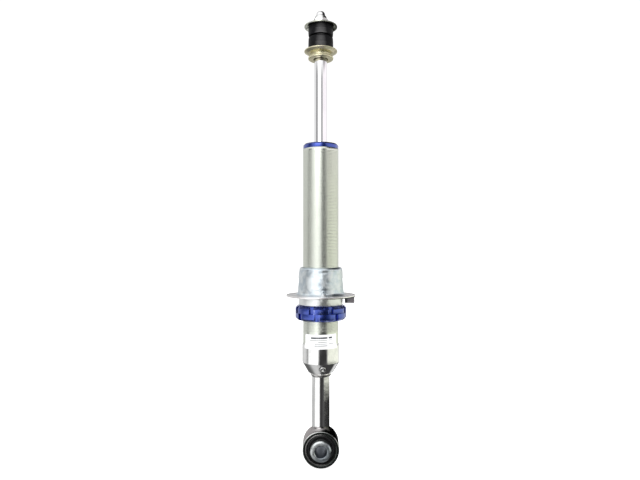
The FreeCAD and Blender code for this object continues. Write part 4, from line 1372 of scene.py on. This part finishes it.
def tab_mesh():
    """The tab under the flange at +X: a flat lug, straight down, with eased edges."""
    mesh = bmesh.new()
    bmesh.ops.create_cube(mesh, size=1.0)
    length = TAB_OUTER_X - TAB_INNER_X
    height = SEAT_UNDERSIDE + SEAT_SHEET / 2 - TAB_BOTTOM
    bmesh.ops.scale(mesh, verts=mesh.verts, vec=(length, SEAT_SHEET, height))
    middle = Vector((TAB_INNER_X + length / 2, 0, TAB_BOTTOM + height / 2))
    bmesh.ops.translate(mesh, verts=mesh.verts, vec=middle)
    bmesh.ops.bevel(mesh, geom=mesh.edges, offset=0.35 * MM, segments=2, affect="EDGES")
    return mesh


def build_seat():
    """The pressed seat: a lathe section that the press has left uneven, with a stop and a tab."""

    def pressed(r, h, angle):
        crown = smoothstep(SEAT_UNDERSIDE + 5 * MM, SEAT_UNDERSIDE + 12 * MM, h)
        push = seat_waves(h, angle) * crown * smoothstep(SEAT_TOP, SEAT_TOP - 5 * MM, h)
        lift = 0.0
        if SEAT_UNDERSIDE - 1 * MM < h < SEAT_UNDERSIDE + 7 * MM:
            lift = stop_bump(r, angle)
        return r + push, h + lift

    mesh = loft(lathe(evenly(seat_section(), 1.1 * MM), 240, shape=pressed))
    lug = bpy.data.meshes.new("tab")
    tab = tab_mesh()
    tab.to_mesh(lug)
    tab.free()
    mesh.from_mesh(lug)
    bpy.data.meshes.remove(lug)
    piece("spring_seat", mesh, crease=40)


# ---- Build everything ------------------------------------------------------------------------
build_eye()
build_stem()
build_eye_weld()
build_stem_weld()
build_cup()
build_plug()
build_tube()
build_label()
build_end_cap()
build_wiper()
build_rod()
build_spacer()
build_cup_washer("lower_cup_washer", True)
build_cup_washer("upper_cup_washer", False, "grey_zinc")
build_bush("lower_bush", spigot=True)
build_bush("upper_bush")
build_top_nut()
build_ring("adjuster_ring", ADJUSTER_FIRST_SLOT, True)
build_ring("lock_ring", LOCK_FIRST_SLOT, False)
build_carrier()
build_seat()

for node, obj in frame["nodes"].items():
    obj.data.materials.clear()
    obj.data.materials.append(material_for(SLOT_OF[node]))


# ---- Studio ----------------------------------------------------------------------------------
def warm(level):
    return colour(0.975 * level, 0.995 * level, 0.87 * level)


PINKISH = colour(1.04, 0.99, 1.02)
HOT = 2.2
# Each band of light is a list of stops: degrees round from the camera towards +X, and brightness.
HIGH_LIGHT = (
    (-180, 0.64), (-150, 0.66), (-112, 0.80), (-90, 0.72), (-83, 0.13), (-64, 0.13), (-56, 1.10),
    (-42, 1.15), (-32, HOT * 1.3), (-2, HOT * 1.3), (6, 0.90), (12, 0.10), (26, 0.10), (33, 0.85),
    (42, PINKISH), (110, PINKISH), (150, 0.75), (180, 0.64),
)
LEVEL_LIGHT = (
    (-180, 0.72), (-150, 0.68), (-102, 0.68), (-92, 0.36), (-82, 0.24), (-64, 0.44), (-50, 0.98),
    (-36, 1.25), (-18, 1.36), (-8, 1.36), (0, 0.75), (8, 0.10), (31, 0.08), (39, warm(0.52)),
    (47, warm(1.08)), (60, warm(1.14)), (116, warm(1.10)), (132, warm(0.80)), (155, 0.60),
    (168, 0.66), (180, 0.76),
)
CUP_LIGHT = (
    (-180, 0.62), (-150, 0.64), (-112, 0.72), (-99, 0.62), (-93, 0.36), (-87, 0.36), (-78, 1.10),
    (-45, 1.20), (-24, HOT * 0.8), (-17, 1.0), (-8, 0.10), (-3, 0.04), (33, 0.035), (39, 0.25),
    (45, warm(0.90)), (70, warm(0.98)), (125, warm(0.98)), (152, 0.78), (180, 0.62),
)
LOW_LIGHT = (
    (-180, 0.50), (-150, 0.40), (-120, 0.55), (-97, 0.50), (-90, 0.48), (-80, 1.10), (-45, 1.15),
    (-25, HOT * 0.8), (-14, 0.30), (-5, 0.035), (16, 0.05), (34, 0.09), (60, 0.035), (150, 0.02),
    (166, 0.05), (180, 0.40),
)
FLOOR_LIGHT = (
    (-180, 0.35), (-158, 0.12), (-126, 0.12), (-110, 0.22), (-92, 0.55), (-60, 0.62), (-20, 0.48),
    (-2, 0.12), (25, 0.05), (120, 0.05), (132, 0.70), (152, 0.80), (180, 0.50),
)
CEILING_LIGHT = (
    (-180, 0.03), (-160, 0.04), (-146, 0.55), (-100, 0.85), (-70, 1.15), (0, 1.15), (36, 0.95),
    (50, 0.25), (62, 0.03), (168, 0.03), (180, 0.03),
)
LOOSE_LIGHT = grey(1.25)
STUDIO_STRENGTH = 1.08


def radiance_ramp(g, factor, stops):
    ramp = g.node("ShaderNodeValToRGB", factor)
    elements = ramp.color_ramp.elements
    while len(elements) < len(stops):
        elements.new(0.5)
    for element, (degrees, tone) in zip(elements, stops):
        element.position = (degrees + 180) / 360
    for element, (degrees, tone) in zip(elements, stops):
        element.color = tone if isinstance(tone, tuple) else grey(tone)
    return ramp.outputs[0]


def build_world():
    """A soft studio as light from all round: a large white source at the left, a dim gap where the
    camera stands, a second source at the right that ends low down, and a paler room behind."""
    world = bpy.data.worlds.new("studio")
    bpy.context.scene.world = world
    world.use_nodes = True
    world.node_tree.nodes.clear()
    g = Graph(world.node_tree)
    direction = g.node("ShaderNodeTexCoord").outputs["Generated"]
    x, y, z = g.node("ShaderNodeSeparateXYZ", direction).outputs
    azimuth = g.maths("ARCTAN2", x, g.times(y, -1.0))
    share = g.fit(azimuth, -math.pi, math.pi)

    def band(light, stops, start, full):
        """Fades to another band of light as the ray climbs or dips from start to full."""
        return g.mix(g.fit(z, start, full, smooth=True), light, radiance_ramp(g, share, stops))

    light = radiance_ramp(g, share, LEVEL_LIGHT)
    light = band(light, HIGH_LIGHT, 0.09, 0.19)
    light = band(light, CEILING_LIGHT, 0.365, 0.42)
    light = band(light, CUP_LIGHT, -0.10, -0.145)
    light = band(light, LOW_LIGHT, -0.225, -0.285)
    light = band(light, FLOOR_LIGHT, -0.38, -0.52)
    rays = g.node("ShaderNodeLightPath").outputs
    light = g.mix(rays["Is Diffuse Ray"], light, LOOSE_LIGHT)
    light = g.mix(rays["Is Camera Ray"], light, grey(1.0))
    background = g.node("ShaderNodeBackground", light, STUDIO_STRENGTH)
    g.node("ShaderNodeOutputWorld", background.outputs[0])


FLOOR_DROP = 0.3 * MM


def build_floor():
    """A plain white floor, lit to white except for a faint shadow under the eye."""
    mesh = bmesh.new()
    bmesh.ops.create_circle(mesh, cap_ends=True, segments=64, radius=4.0)
    bmesh.ops.translate(mesh, verts=mesh.verts, vec=(0, 0, cad_box[0][2] - FLOOR_DROP))
    floor = mesh_object("floor", mesh)
    g = Finish("floor")
    g.finish(base_color=grey(0.9), roughness=0.9, emission_color=grey(1.0), emission_strength=0.75)
    floor.data.materials.append(g.material)
    floor.visible_glossy = False
    floor.visible_diffuse = False


CAMERA_PLACE = (-0.0011, -0.7454, 0.2845)
CAMERA_RISE = 0.4
LENS_MM = 29.69


def build_camera():
    """A wide lens close by, at about half height, that looks slightly up."""
    data = bpy.data.cameras.new("camera")
    data.sensor_width = 36.0
    data.lens = LENS_MM
    camera = bpy.data.objects.new("camera", data)
    camera.location = CAMERA_PLACE
    camera.rotation_euler = (math.radians(90 + CAMERA_RISE), 0, 0)
    bpy.context.scene.collection.objects.link(camera)
    bpy.context.scene.camera = camera


build_world()
build_floor()
build_camera()
bpy.context.scene.view_settings.view_transform = "Standard"
